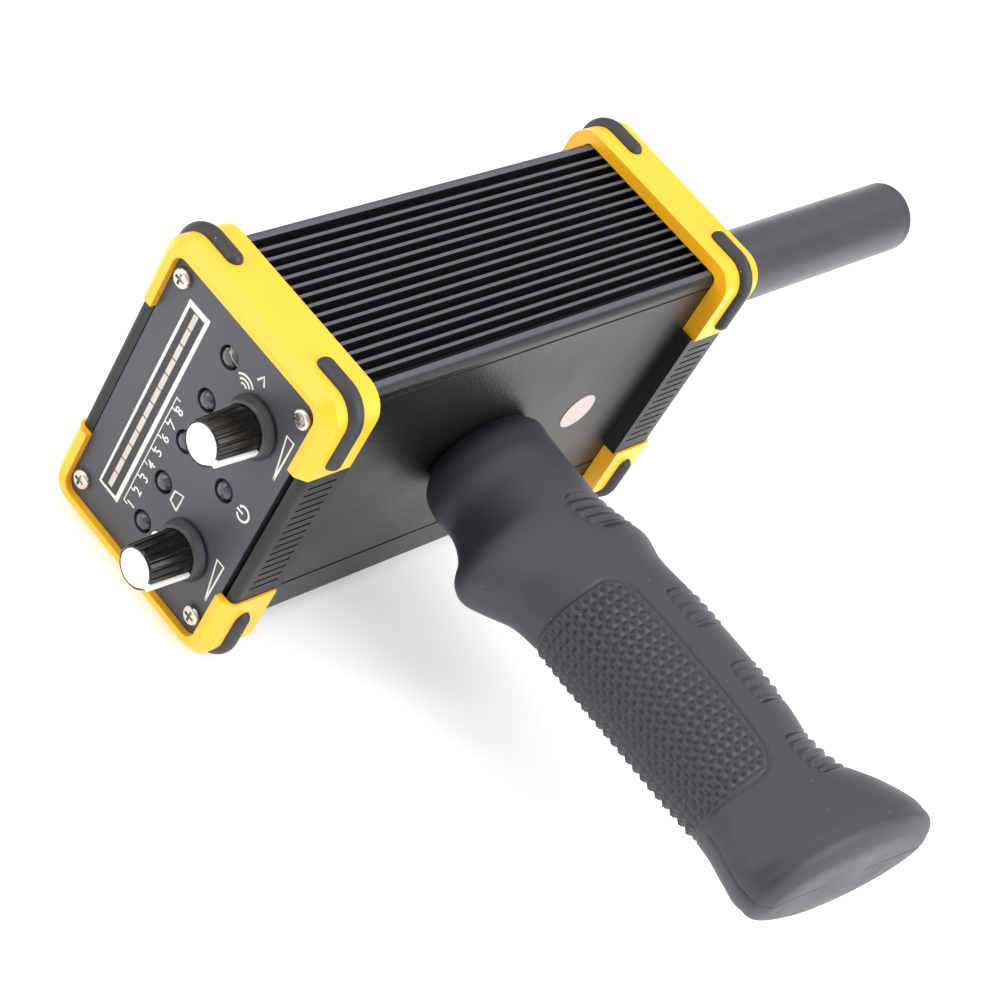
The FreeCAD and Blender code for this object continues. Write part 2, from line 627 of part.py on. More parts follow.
def panel_screw(end, tall, wide):
    """Return a pan head screw with a cross recess, standing in an end panel."""
    out = -1 if end == "front" else 1
    head_start = "0 - case_long - screw_high" if end == "front" else "0"
    shank_start = "0 - case_long" if end == "front" else "0 - screw_long"
    recess_start = "0 - case_long - screw_high - 1" if end == "front" else "screw_high - recess_deep"
    head = rod("screw_head_disc", "Y", (tall, head_start, wide), "screw_head", "screw_high")
    doc.recompute()
    crown = head_start if end == "front" else "screw_high"
    level = size("screw_high") * out - (size("case_long") if end == "front" else 0.0)
    eased = doc.addObject("Part::Fillet", "screw_head_eased")
    eased.Base = head
    eased.Edges = [(index, 0.9, 0.9) for index, edge in enumerate(head.Shape.Edges, start=1)
                   if edge.Closed and abs(edge.CenterOfMass.y - level) < 1e-6]
    shank = rod("screw_shank_rod", "Y", (tall, shank_start, wide), "screw_shank", "screw_long")
    slots = []
    arms = (("recess_long / 2", "recess_wide / 2"), ("recess_wide / 2", "recess_long / 2"))
    for half_tall, half_wide in arms:
        slots.append(block("screw_recess", ("%s - %s" % (tall, half_tall), recess_start,
                                            "%s - %s" % (wide, half_wide)),
                           ("%s + %s" % (tall, half_tall), "%s + recess_deep + 1" % recess_start,
                            "%s + %s" % (wide, half_wide))))
    return cut("screw", fuse("screw_blank", [eased, shank]), slots)


for end in ("front", "rear"):
    group(end + "_panel_screws", [panel_screw(end, tall, wide) for tall, wide in port_places()])


# ---------------------------------------------------------------- display and lamps

BOARD_FRONT = "panel_thick + pot_deep - case_long"
body = block("bar_body", ("bar_top", PANEL_FRONT, "bar_low_wide"),
             ("bar_bottom", BOARD_FRONT, "bar_high_wide"))
wells = []
steps = []
for number in range(STEP_COUNT):
    centre = "step_first + step_pitch * %d" % number
    corners = (("step_line - step_tall / 2", PANEL_FRONT, "%s - step_long / 2" % centre),
               ("step_line + step_tall / 2", "step_deep - case_long", "%s + step_long / 2" % centre))
    wells.append(block("step_well", *corners))
    steps.append(block("step", *corners))
node(cut("display_body_part", body, wells), "level_display_body")
group("level_display_steps", steps)


def lamp(tall, wide):
    """Return a domed lamp whose crown is level with the panel's face, with its two leads."""
    dome = ball("lamp_dome", (tall, "lamp_radius - case_long", wide), "lamp_radius")
    barrel = rod("lamp_barrel", "Y", (tall, "lamp_radius - case_long", wide), "lamp_radius",
                 "lamp_long - lamp_radius")
    flange = rod("lamp_flange_disc", "Y", (tall, "lamp_long - 1 - case_long", wide), "lamp_flange", "1")
    pieces = [dome, barrel, flange]
    for offset in ("- 1.27", "+ 1.27"):
        pieces.append(rod("lamp_lead", "Y", (tall, "lamp_long - 0.5 - case_long", "%s %s" % (wide, offset)),
                          "lead_radius", "panel_thick + pot_deep - lamp_long + 0.5"))
    return fuse("lamp", pieces)


lamps = [lamp(tall, wide) for tall, wide in lamp_places()]
clear_lamp = lamps.pop(LAMP_COUNT - 1)
group("indicator_lamps", lamps)
node(clear_lamp, "clear_lamp")


# ---------------------------------------------------------------- rotary controls

fixings = {"washer": [], "nut": []}


def control(side, wide):
    """Add one rotary control: case, washer, nut, shaft, knob and white insert."""
    face = PANEL_FRONT
    behind = "panel_thick - case_long"
    bush_tip = "%s - bush_long" % behind
    case = rod("pot_case", "Y", ("dial_tall", behind, wide), "pot_radius", "pot_deep")
    bush = rod("pot_bush", "Y", ("dial_tall", bush_tip, wide), "bush_radius", "bush_long + 1")
    blank = fuse("pot_blank", [case, bush])
    bore = rod("pot_bore", "Y", ("dial_tall", "%s - 1" % bush_tip, wide), "bush_bore", "bush_long + 3")
    room = rod("pot_room", "Y", ("dial_tall", "%s + 1.5" % behind, wide), "pot_radius - 1.5", "pot_deep - 3")
    node(cut(side + "_control_part", blank, [bore, room]), side + "_control_case")
    washer = rod("washer_disc", "Y", ("dial_tall", "%s - washer_high" % face, wide), "washer_radius",
                 "washer_high")
    nut = hexagon("nut_blank", ("dial_tall", "%s - washer_high - nut_high" % face, wide), "nut_flats",
                  "nut_high")
    for label, blank in (("washer", washer), ("nut", nut)):
        hole = rod(label + "_hole", "Y", ("dial_tall", "%s - 5" % face, wide), "bush_radius", "6")
        fixings[label].append(cut("%s_%s_part" % (side, label), blank, [hole]))

    knob_low = "%s - knob_gap" % face
    knob_tip = "%s - knob_high" % knob_low
    shaft_tip = "%s + 3" % knob_tip
    shaft = rod("shaft_rod", "Y", ("dial_tall", shaft_tip, wide), "shaft_radius",
                "%s - ( %s ) + 2.4" % (behind, shaft_tip))
    wiper = rod("shaft_wiper", "Y", ("dial_tall", "%s + 2" % behind, wide), "pot_radius - 2.2", "1.2")
    node(fuse(side + "_shaft_part", [shaft, wiper]), side + "_control_shaft")

    skirt_top = "%s - knob_skirt_high" % knob_low
    skirt = cone("knob_skirt_cone", "Y", ("dial_tall", skirt_top, wide), "knob_skirt_top", "knob_skirt",
                 "knob_skirt_high")
    barrel = cone("knob_barrel", "Y", ("dial_tall", knob_tip, wide), "knob_top", "knob_body",
                  "knob_high - knob_skirt_high + 0.2")
    flutes = []
    for number in range(FLUTE_COUNT):
        angle = 2 * math.pi * (number + 0.5) / FLUTE_COUNT
        across = "dial_tall + knob_body * ( %.6f )" % math.cos(angle)
        beside = "%s + knob_body * ( %.6f )" % (wide, math.sin(angle))
        flutes.append(rod("knob_flute_cut", "Y", (across, "%s - 1" % knob_tip, beside), "knob_flute",
                          "knob_high - knob_skirt_high + 1"))
    hollow = rod("knob_hollow", "Y", ("dial_tall", "%s - 2.6" % knob_low, wide), "knob_recess", "5")
    throat = rod("knob_throat", "Y", ("dial_tall", "%s - 4.4" % knob_low, wide), "bush_radius + 0.3", "5")
    socket = rod("knob_socket", "Y", ("dial_tall", shaft_tip, wide), "shaft_radius", "knob_high")
    seat = rod("knob_marker_seat", "Y", ("dial_tall", "%s - 1" % knob_tip, wide), "marker_radius",
               "marker_thick + 1")
    turned = cut("knob_turned", fuse("knob_blank", [skirt, barrel]), flutes)

    disc = rod("marker_disc", "Y", ("dial_tall", knob_tip, wide), "marker_radius", "marker_thick")
    line = doc.addObject("Part::Box", "marker_line")
    bind(line, Length="knob_body + 0.1 - 3", Width="knob_high - knob_skirt_high", Height="marker_wide")
    angle = size("dial_turn")
    turn = Rotation(Vector(0, 1, 0), -angle)
    shift = turn.multVec(Vector(3.0, 0, -size("marker_wide") / 2))
    line.Placement = Placement(Vector(), turn)
    place(line, ("dial_tall + %.6f" % shift.x, knob_tip, "%s + %.6f" % (wide, shift.z)))
    core = cone("marker_core", "Y", ("dial_tall", "%s + marker_thick" % knob_tip, wide), "knob_top - 0.6",
                "knob_body - 0.6", "knob_high")
    rib = cut("marker_rib", line, [core])
    marker = fuse(side + "_marker_part", [disc, rib])
    node(cut(side + "_knob_part", turned, [hollow, throat, socket, seat, rib]), side + "_knob")
    node(marker, side + "_knob_marker")


control("right", "dial_right")
control("left", "dial_left")
group("control_washers", fixings["washer"])
group("control_nuts", fixings["nut"])


# ---------------------------------------------------------------- boards

def spacer_places():
    """Return the panel board's four spacer places as expressions across X and Z."""
    return [(tall, wide) for tall in ("spacer_low", "spacer_high")
            for wide in ("spacer_wide", "0 - spacer_wide")]


board = block("panel_board_plate", ("0 - panel_board_tall", BOARD_FRONT, "0 - panel_board_wide"),
              ("panel_board_tall", "%s + board_thick" % BOARD_FRONT, "panel_board_wide"))
holes = [rod("board_hole", "Y", (tall, "%s - 1" % BOARD_FRONT, wide), "board_hole", "board_thick + 2")
         for tall, wide in spacer_places()]
node(cut("panel_board_part", board, holes), "panel_board")
spacers = []
for tall, wide in spacer_places():
    pillar = rod("spacer_rod", "Y", (tall, "panel_thick - case_long", wide), "spacer_radius", "pot_deep")
    hole = rod("spacer_hole", "Y", (tall, "panel_thick + 2 - case_long", wide), "spacer_bore", "pot_deep")
    spacers.append(cut("spacer", pillar, [hole]))
group("board_spacers", spacers)
screws = []
for tall, wide in spacer_places():
    head = rod("board_screw_head", "Y", (tall, "%s + board_thick" % BOARD_FRONT, wide), "board_head",
               "board_head_high")
    shank = rod("board_screw_shank", "Y", (tall, "%s - board_screw_deep" % BOARD_FRONT, wide), "screw_shank",
                "board_thick + board_screw_deep + 1")
    screws.append(fuse("board_screw", [head, shank]))
group("board_screws", screws)

MAIN_TOP = "main_board_place"
MAIN_LOW = "main_board_place + board_thick"
node(block("main_board_plate", (MAIN_TOP, "main_board_front", "0 - main_board_wide"),
           (MAIN_LOW, "main_board_rear", "main_board_wide")), "main_board")
group("board_chips", [
    block("processor_block", ("%s - chip_high" % MAIN_TOP, "processor_front", "0 - processor_side / 2"),
          (MAIN_TOP, "processor_front + processor_side", "processor_side / 2")),
    block("amplifier_block", ("%s - chip_high" % MAIN_TOP, "amplifier_front", "amplifier_wide"),
          (MAIN_TOP, "amplifier_front + amplifier_side", "amplifier_wide + amplifier_side")),
])
node(rod("buzzer_can", "X", ("%s - buzzer_high" % MAIN_TOP, "buzzer_place", "0 - buzzer_wide"),
         "buzzer_radius", "buzzer_high"), "buzzer")
cans = []
for number in range(CAPACITOR_COUNT):
    along_y = "capacitor_first + capacitor_pitch * %d" % number
    cans.append(rod("capacitor_can", "X", ("%s - capacitor_high" % MAIN_TOP, along_y, "capacitor_wide"),
                    "capacitor_radius", "capacitor_high"))
group("smoothing_capacitors", cans)
node(block("signal_connector_block",
           ("%s - connector_high" % MAIN_TOP, "connector_front", "0 - connector_wide"),
           (MAIN_TOP, "connector_front + connector_long", "connector_wide")), "signal_connector")


# ---------------------------------------------------------------- battery

def tray(sign):
    """Return one cell's open tray."""
    centre = "cell_wide" if sign > 0 else "0 - cell_wide"
    tray_front = "cell_front - contact_long"
    tray_long = "cell_long + 2 * contact_long"
    side_low = "%s - cell_radius - cell_fit" % centre
    side_high = "%s + cell_radius + cell_fit" % centre
    outside = block("tray_outside", ("cell_tall", "%s - tray_wall" % tray_front, "%s - tray_side" % side_low),
                    ("case_half_tall - case_wall", "%s + %s + tray_wall" % (tray_front, tray_long),
                     "%s + tray_side" % side_high))
    inside = rod("tray_inside", "Y", ("cell_tall", tray_front, centre), "cell_radius + cell_fit", tray_long)
    opening = block("tray_opening", ("cell_tall - 1", tray_front, side_low),
                    ("cell_tall", "%s + %s" % (tray_front, tray_long), side_high))
    return cut("tray", outside, [inside, opening])


group("battery_holder", [tray(1), tray(-1)])
cells = []
springs = []
for centre in ("cell_wide", "0 - cell_wide"):
    can = rod("cell_can", "Y", ("cell_tall", "cell_front", centre), "cell_radius", "cell_long - 1")
    button = rod("cell_button", "Y", ("cell_tall", "cell_front + cell_long - button_high", centre),
                 "cell_button", "button_high")
    cells.append(fuse("cell", [can, button]))
    springs.append(cone("contact_spring", "Y", ("cell_tall", "cell_front - contact_long", centre),
                        "contact_foot", "contact_tip", "contact_long"))
group("battery_cells", cells)
group("battery_contacts", springs)


# ---------------------------------------------------------------- sensing tube

stub = rod("tube_solid", "Y", ("0", "0", "0"), "tube_radius", "tube_long - cap_high")
node(cut("sensing_tube_part", stub, [rod("tube_hole", "Y", ("0", "-1", "0"), "tube_bore", "tube_long + 2")]),
     "sensing_tube")
disc = rod("cap_disc", "Y", ("0", "tube_long - cap_high", "0"), "tube_radius", "cap_high")
doc.recompute()
cap_eased = doc.addObject("Part::Fillet", "cap_eased")
cap_eased.Base = disc
cap_eased.Edges = [(index, size("cap_soft"), size("cap_soft"))
                   for index, edge in enumerate(disc.Shape.Edges, start=1)
                   if edge.Closed and edge.CenterOfMass.y > size("tube_long") - 0.1]
spigot = rod("cap_spigot", "Y", ("0", "tube_long - cap_high - spigot_long", "0"), "tube_bore",
             "spigot_long + 1")
node(fuse("tube_end_cap_part", [cap_eased, spigot]), "tube_end_cap")

plug = rod("socket_plug", "Y", ("0", "0", "0"), "tube_bore", "plug_long")
thread = rod("socket_thread_rod", "Y", ("0", "0 - panel_thick - thread_long", "0"), "socket_thread",
             "panel_thick + thread_long + 1")
way = rod("socket_way", "Y", ("0", "0 - panel_thick - thread_long - 1", "0"), "socket_bore",
          "panel_thick + thread_long + plug_long + 2")
node(cut("tube_socket_part", fuse("socket_blank", [plug, thread]), [way]), "tube_socket")
nut = hexagon("tube_nut_blank", ("0", "0 - panel_thick - tube_nut_high", "0"), "tube_nut_flats",
              "tube_nut_high")
nut_hole = rod("tube_nut_hole", "Y", ("0", "0 - panel_thick - tube_nut_high - 1", "0"), "socket_thread",
               "tube_nut_high + 2")
node(cut("tube_nut_part", nut, [nut_hole]), "tube_nut")

core = rod("core_rod", "Y", ("0", "core_start", "0"), "core_radius", "core_long")
node(core, "coil_core")
winding = rod("coil_rod", "Y", ("0", "coil_start", "0"), "coil_radius", "coil_long")
coil_hole = rod("coil_hole", "Y", ("0", "coil_start - 1", "0"), "core_radius", "coil_long + 2")
node(cut("coil_part", winding, [coil_hole]), "sensing_coil")
collars = []
for start in ("collar_start", "coil_start + coil_long"):
    ring = rod("collar_ring", "Y", ("0", start, "0"), "tube_bore", "collar_long")
    collar_hole = rod("collar_hole", "Y", ("0", "%s - 1" % start, "0"), "core_radius", "collar_long + 2")
    collars.append(cut("collar", ring, [collar_hole]))
group("coil_collars", collars)


# ---------------------------------------------------------------- grip

stations = []
for below, centre, half_deep, half_wide, tilt in GRIP_STATIONS:
    oval = doc.addObject("Part::Ellipse", "grip_section")
    oval.MajorRadius = half_deep
    oval.MinorRadius = half_wide
    lean = Rotation(Vector(0, 0, 1), -tilt).multiply(Rotation(Vector(1, 1, 1), 120))
    oval.Placement = Placement(Vector(below, centre, 0), lean)
    stations.append(oval)
loft = doc.addObject("Part::Loft", "grip_loft")
loft.Sections = stations
loft.Solid = True
loft.Ruled = False
core_box = block("grip_core_box", ("case_half_tall", "grip_centre - grip_core_deep", "0 - grip_core_wide"),
                 ("grip_core_end", "grip_centre + grip_core_deep", "grip_core_wide"))
doc.recompute()
grip_core = doc.addObject("Part::Fillet", "grip_core_eased")
grip_core.Base = core_box
grip_core.Edges = [(index, size("grip_core_corner"), size("grip_core_corner"))
                   for index, edge in enumerate(core_box.Shape.Edges, start=1)
                   if abs(edge.tangentAt(edge.FirstParameter).x) > 0.99]
node(cut("grip_sleeve_part", loft, [grip_core]), "grip_sleeve")
bolt_way = rod("grip_bolt_way", "X", ("case_half_tall - 1", "grip_centre", "0"), "grip_bolt",
               "grip_bolt_low - case_half_tall + 1")
node(cut("grip_core_part", grip_core, [bolt_way]), "grip_core")
node(rod("grip_bolt_rod", "X", ("grip_bolt_high", "grip_centre", "0"), "grip_bolt",
         "grip_bolt_low - grip_bolt_high"), "grip_bolt")
plate_top = "case_half_tall - case_wall - grip_plate"
backing = block("grip_plate_block", (plate_top, "grip_centre - grip_plate_long", "0 - grip_plate_wide"),
                ("case_half_tall - case_wall", "grip_centre + grip_plate_long", "grip_plate_wide"))
fixing_start = ("grip_bolt_high", "grip_centre", "0")
fixing_long = "case_half_tall - grip_bolt_high"
plate_hole = rod("grip_plate_hole", "X", fixing_start, "grip_bolt + 0.2", fixing_long)
node(cut("grip_plate_part", backing, [plate_hole]), "grip_plate")
washer_top = "%s - grip_washer_high" % plate_top
washer = rod("grip_washer_disc", "X", (washer_top, "grip_centre", "0"), "grip_washer", "grip_washer_high")
washer_hole = rod("grip_washer_hole", "X", fixing_start, "grip_bolt", fixing_long)
node(cut("grip_washer_part", washer, [washer_hole]), "grip_washer")
grip_nut = doc.addObject("Part::Prism", "grip_nut_blank")
grip_nut.Polygon = 6
grip_nut.Placement = Placement(Vector(), AXIS_TURN["X"])
bind(grip_nut, Circumradius="grip_nut_round", Height="grip_nut_high")
place(grip_nut, ("%s - grip_nut_high" % washer_top, "grip_centre", "0"))
nut_hole = rod("grip_nut_hole", "X", fixing_start, "grip_bolt", fixing_long)
node(cut("grip_nut_part", grip_nut, [nut_hole]), "grip_nut")

node(rod("badge_disc", "X", ("case_half_tall", "badge_place", "0"), "badge_radius", "badge_thick"),
     "blank_badge")


# ---------------------------------------------------------------- check and write

doc.recompute()
faults = []
for thing in doc.Objects:
    if "Invalid" in thing.State or "Error" in thing.State:
        faults.append("%s is %s" % (thing.Name, ", ".join(thing.State)))
for thing in nodes:
    if thing.Shape.isNull() or not thing.Shape.isValid() or not thing.Shape.Solids:
        faults.append("%s has no valid solid" % thing.Label)
if faults:
    raise SystemExit("\n".join(faults))

os.makedirs("parts", exist_ok=True)
for thing in nodes:
    thing.Shape.exportStep("parts/%s.step" % thing.Label)
    box = thing.Shape.BoundBox
    print("%-28s %2d solids %9.1f mm3  x %.1f %.1f  y %.1f %.1f  z %.1f %.1f" % (
        thing.Label, len(thing.Shape.Solids), thing.Shape.Volume, box.XMin, box.XMax, box.YMin, box.YMax,
        box.ZMin, box.ZMax))
print(len(nodes), "nodes")
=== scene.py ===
import json
import logging
import math
from dataclasses import dataclass, field
from enum import Enum

import bpy
import numpy as np
from mathutils import Matrix, Vector


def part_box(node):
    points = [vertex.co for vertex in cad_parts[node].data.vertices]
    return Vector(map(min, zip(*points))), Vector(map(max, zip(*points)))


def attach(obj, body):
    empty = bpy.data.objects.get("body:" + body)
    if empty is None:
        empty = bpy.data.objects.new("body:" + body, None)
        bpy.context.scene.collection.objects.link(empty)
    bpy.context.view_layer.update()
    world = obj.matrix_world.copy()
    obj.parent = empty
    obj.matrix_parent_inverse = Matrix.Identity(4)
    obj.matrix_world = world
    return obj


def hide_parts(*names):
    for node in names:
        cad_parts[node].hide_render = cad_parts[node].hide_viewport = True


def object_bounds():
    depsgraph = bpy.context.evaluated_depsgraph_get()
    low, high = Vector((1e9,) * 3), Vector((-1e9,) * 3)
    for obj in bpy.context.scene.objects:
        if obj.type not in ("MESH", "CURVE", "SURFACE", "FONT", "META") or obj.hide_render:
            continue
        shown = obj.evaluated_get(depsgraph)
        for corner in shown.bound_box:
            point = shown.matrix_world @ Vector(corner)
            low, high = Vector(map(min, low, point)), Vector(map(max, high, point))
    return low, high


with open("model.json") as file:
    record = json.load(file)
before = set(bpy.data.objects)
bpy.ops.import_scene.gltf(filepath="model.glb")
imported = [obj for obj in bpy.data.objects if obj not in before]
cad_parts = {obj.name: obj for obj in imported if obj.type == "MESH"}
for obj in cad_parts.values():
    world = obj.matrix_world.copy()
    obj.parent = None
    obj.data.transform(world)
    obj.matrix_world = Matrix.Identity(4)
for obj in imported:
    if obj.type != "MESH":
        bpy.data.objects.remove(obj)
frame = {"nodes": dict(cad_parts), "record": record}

logging.basicConfig(level=logging.INFO, format="%(message)s")
log = logging.getLogger("locator")

# A handheld locator lying on its left side. Lengths are in metres; names that end in _mm hold millimetres.
MM = 0.001
CAD_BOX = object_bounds()
PANEL_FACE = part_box("front_panel")[0].y
CASE = "case"
MERGE_MM = 0.001
FLAT_DEGREES = 0.4
FULL_WEIGHT = 100
SEED_MM = 0.5
TINY = 1e-9
NUDGE = 1e-6

Profile = list[tuple[float, float]]
Stroke = list[tuple[float, float]]


class Side(Enum):
    """Which of the two rotary controls is meant."""

    RIGHT = "right"
    LEFT = "left"


# ------------------------------------------------------------------ materials


def linear(hex_code: str) -> tuple[float, float, float, float]:
    """Turn an sRGB hex colour into linear light.

    Args:
        hex_code: six hex digits, with or without a leading hash.

    Returns:
        Red, green, blue and an alpha of one.
    """
    digits = hex_code.lstrip("#")
    parts = [int(digits[i:i + 2], 16) / 255.0 for i in (0, 2, 4)]
    light = [p / 12.92 if p <= 0.04045 else ((p + 0.055) / 1.055) ** 2.4 for p in parts]
    return (light[0], light[1], light[2], 1.0)


def add_node(tree: bpy.types.NodeTree, kind: str, settings: dict, links: dict) -> bpy.types.Node:
    """Add a shader node with its settings and its incoming links.

    Args:
        tree: the material's node tree.
        kind: the node's type name.
        settings: values by input name, input number or property name.
        links: source sockets by input name or number.

    Returns:
        The new node.
    """
    node = tree.nodes.new(kind)
    for key, value in settings.items():
        if isinstance(key, int) or key in node.inputs:
            node.inputs[key].default_value = value
        else:
            setattr(node, key, value)
    for key, socket in links.items():
        tree.links.new(socket, node.inputs[key])
    return node


@dataclass(frozen=True)
class Finish:
    """One real surface: what it is made of and how it was made.

    The colour drifts to the shade over mottle_mm, and the grain is raised by grain_depth_mm. Specks are dust.
    Further than the set reach from the middle along Z, to either side, the colour is turned paler as a
    painted highlight.
    """

    name: str
    colour: str
    shade: str
    roughness: float
    metallic: float = 0.0
    ior: float = 1.5
    grain_mm: float = 0.3
    grain_depth_mm: float = 0.01
    mottle_mm: float = 12.0
    roughness_swing: float = 0.06
    stretch: tuple[float, float, float] = (1.0, 1.0, 1.0)
    speck_mm: float = 0.0
    speck_reach: float = 0.085
    speck_share: float = 0.0
    speck_colour: str = "#8A8A8C"
    worn_beyond_mm: float = 0.0
    worn_fade_mm: float = 0.2
    worn_colour: str = "#6A6A70"
    coat: float = 0.0
    coat_roughness: float = 0.1
    transmission: float = 0.0
    scatter: float = 0.0
    scatter_mm: float = 1.5
    mottle_range: tuple[float, float] = (0.3, 0.7)

    def material(self) -> bpy.types.Material:
        """Return this finish as a node material, made once.

        Returns:
            The material.
        """
        if self.name in bpy.data.materials:
            return bpy.data.materials[self.name]
        made = bpy.data.materials.new(self.name)
        made.use_nodes = True
        tree = made.node_tree
        shader = tree.nodes["Principled BSDF"]
        place = add_node(tree, "ShaderNodeTexCoord", {}, {})
        lay = add_node(tree, "ShaderNodeMapping", {"Scale": self.stretch},
                       {"Vector": place.outputs["Object"]})
        broad = add_node(tree, "ShaderNodeTexNoise", {"Scale": 1.0 / (self.mottle_mm * MM), "Detail": 3.0},
                         {"Vector": place.outputs["Object"]})
        fine = add_node(tree, "ShaderNodeTexNoise", {"Scale": 1.0 / (self.grain_mm * MM), "Detail": 2.0},
                        {"Vector": lay.outputs["Vector"]})
        tone = add_node(tree, "ShaderNodeMix",
                        {"data_type": "RGBA", 6: linear(self.shade), 7: linear(self.colour)},
                        {0: broad.outputs[0]})
        colour = tone.outputs[2]
        # Painted highlight: a paler colour beyond a set reach from the middle along Z, on the fin tips and
        # rounded edges.
        if self.worn_beyond_mm > 0.0:
            colour = self.rubbed(tree, place.outputs["Object"], colour)
        if self.speck_mm > 0.0:
            colour = self.dusted(tree, place.outputs["Object"], colour)
        tree.links.new(colour, shader.inputs["Base Color"])
        dark, pale = self.mottle_range
        low, high = self.roughness - self.roughness_swing, self.roughness + self.roughness_swing
        gloss = add_node(tree, "ShaderNodeMapRange", {1: dark, 2: pale, 3: low, 4: high},
                         {0: broad.outputs[0]})
        tree.links.new(gloss.outputs[0], shader.inputs["Roughness"])
        bump = add_node(tree, "ShaderNodeBump", {"Strength": 1.0, "Distance": self.grain_depth_mm * MM},
                        {"Height": fine.outputs[0]})
        tree.links.new(bump.outputs[0], shader.inputs["Normal"])
        shader.inputs["Metallic"].default_value = self.metallic
        shader.inputs["IOR"].default_value = self.ior
        shader.inputs["Coat Weight"].default_value = self.coat
        shader.inputs["Coat Roughness"].default_value = self.coat_roughness
        shader.inputs["Transmission Weight"].default_value = self.transmission
        shader.inputs["Subsurface Weight"].default_value = self.scatter
        shader.inputs["Subsurface Scale"].default_value = self.scatter_mm * MM
        return made

    def rubbed(self, tree: bpy.types.NodeTree, place: bpy.types.NodeSocket,
               under: bpy.types.NodeSocket) -> bpy.types.NodeSocket:
        """Paint a highlight: turn the colour paler where the piece stands out furthest to either side.

        Args:
            tree: the material's node tree.
            place: the object coordinates.
            under: the colour before the painted highlight.

        Returns:
            The colour with its painted highlight.
        """
        parts = add_node(tree, "ShaderNodeSeparateXYZ", {}, {0: place})
        reach = add_node(tree, "ShaderNodeMath", {"operation": "ABSOLUTE"}, {0: parts.outputs[2]})
        start = self.worn_beyond_mm * MM
        end = start + self.worn_fade_mm * MM
        tip = add_node(tree, "ShaderNodeMapRange", {1: start, 2: end, 3: 0.0, 4: 1.0}, {0: reach.outputs[0]})
        mixed = add_node(tree, "ShaderNodeMix", {"data_type": "RGBA", 7: linear(self.worn_colour)},
                         {0: tip.outputs[0], 6: under})
        return mixed.outputs[2]

    def dusted(self, tree: bpy.types.NodeTree, place: bpy.types.NodeSocket,
               under: bpy.types.NodeSocket) -> bpy.types.NodeSocket:
        """Scatter small pale specks of dust over a colour.

        Args:
            tree: the material's node tree.
            place: the object coordinates.
            under: the clean colour.

        Returns:
            The dusted colour.
        """
        cells = add_node(tree, "ShaderNodeTexVoronoi", {"Scale": 1.0 / (self.speck_mm * MM)},
                         {"Vector": place})
        near = add_node(tree, "ShaderNodeMath", {"operation": "LESS_THAN", 1: self.speck_reach},
                        {0: cells.outputs["Distance"]})
        pick = add_node(tree, "ShaderNodeSeparateColor", {}, {0: cells.outputs["Color"]})
        some = add_node(tree, "ShaderNodeMath", {"operation": "LESS_THAN", 1: self.speck_share},
                        {0: pick.outputs[0]})
        both = add_node(tree, "ShaderNodeMath", {"operation": "MULTIPLY"},
                        {0: near.outputs[0], 1: some.outputs[0]})
        mixed = add_node(tree, "ShaderNodeMix", {"data_type": "RGBA", 7: linear(self.speck_colour)},
                         {0: both.outputs[0], 6: under})
        return mixed.outputs[2]


# Bead-blasted, black anodised extrusion: even and dark, with a fine sparkle along its edges. Its blasting is
# finer than a render can show, so the grain is drawn at 0.7 mm. The fin tips and rounded long edges are
# painted paler as a highlight.
ANODISED_CASE = Finish("anodised_aluminium_black", "#131317", "#0F0F12", 0.38, ior=1.47, grain_mm=0.7,
                       grain_depth_mm=0.11, mottle_mm=30.0, speck_mm=3.0, speck_share=0.02,
                       worn_beyond_mm=39.9, worn_colour="#4B4B52")
# Sheet panel, rolled and anodised charcoal: smoother and paler than the case.
ANODISED_PANEL = Finish("anodised_aluminium_charcoal", "#44444B", "#3D3D44", 0.46, ior=1.5, grain_mm=0.22,
                        grain_depth_mm=0.008, mottle_mm=22.0)
# Moulded black nylon frame: dull sheen with a fine spark-eroded skin.
MOULDED_NYLON = Finish("moulded_nylon_black", "#131316", "#0E0E10", 0.46, ior=1.45, grain_mm=0.35,
                       grain_depth_mm=0.015)
# Injection-moulded yellow ABS: saturated, warm in its folds, with a soft gloss.
YELLOW_ABS = Finish("moulded_abs_yellow", "#FFBC1E", "#FCB316", 0.36, ior=1.53, grain_mm=0.5,
                    grain_depth_mm=0.006, mottle_mm=25.0, scatter=0.12, coat=0.1, coat_roughness=0.3)
# Extruded rubber cord: dark grey, dull, slightly orange-peeled.
BUMPER_RUBBER = Finish("extruded_rubber_dark", "#2A2A2E", "#232327", 0.52, ior=1.5, grain_mm=0.6,
                       grain_depth_mm=0.02, speck_mm=2.5, speck_share=0.04)
# Moulded soft grip rubber: matte blue-grey with dust caught in it.
GRIP_RUBBER = Finish("moulded_grip_rubber", "#32323A", "#2B2B32", 0.5, ior=1.48, grain_mm=0.4,
                     grain_depth_mm=0.03, mottle_mm=18.0, speck_mm=1.9, speck_share=0.08,
                     speck_colour="#77777C")
# Nickel-plated pan heads: bright with faint tool marks.
NICKEL_PLATE = Finish("nickel_plate", "#D8D4CC", "#B9B5AC", 0.24, metallic=1.0, grain_mm=0.15,
                      grain_depth_mm=0.006, mottle_mm=2.0)
# Moulded gloss knob: near black, with a clear shine along its flutes.
GLOSS_KNOB = Finish("moulded_abs_gloss_black", "#0E0E0F", "#0A0A0B", 0.27, ior=1.47, grain_mm=0.8,
                    grain_depth_mm=0.002, mottle_mm=6.0, roughness_swing=0.03)
# Matte knob skirt: dull and textured by the mould, so paler than the gloss body.
MATTE_SKIRT = Finish("moulded_abs_matte_black", "#38383C", "#2D2D31", 0.42, grain_mm=0.45,
                     grain_depth_mm=0.05, mottle_mm=5.0)
# Moulded white insert: clean, slightly waxy.
WHITE_INSERT = Finish("moulded_abs_white", "#F4F4F2", "#ECECEA", 0.36, grain_mm=0.5, grain_depth_mm=0.003,
                      scatter=0.1)
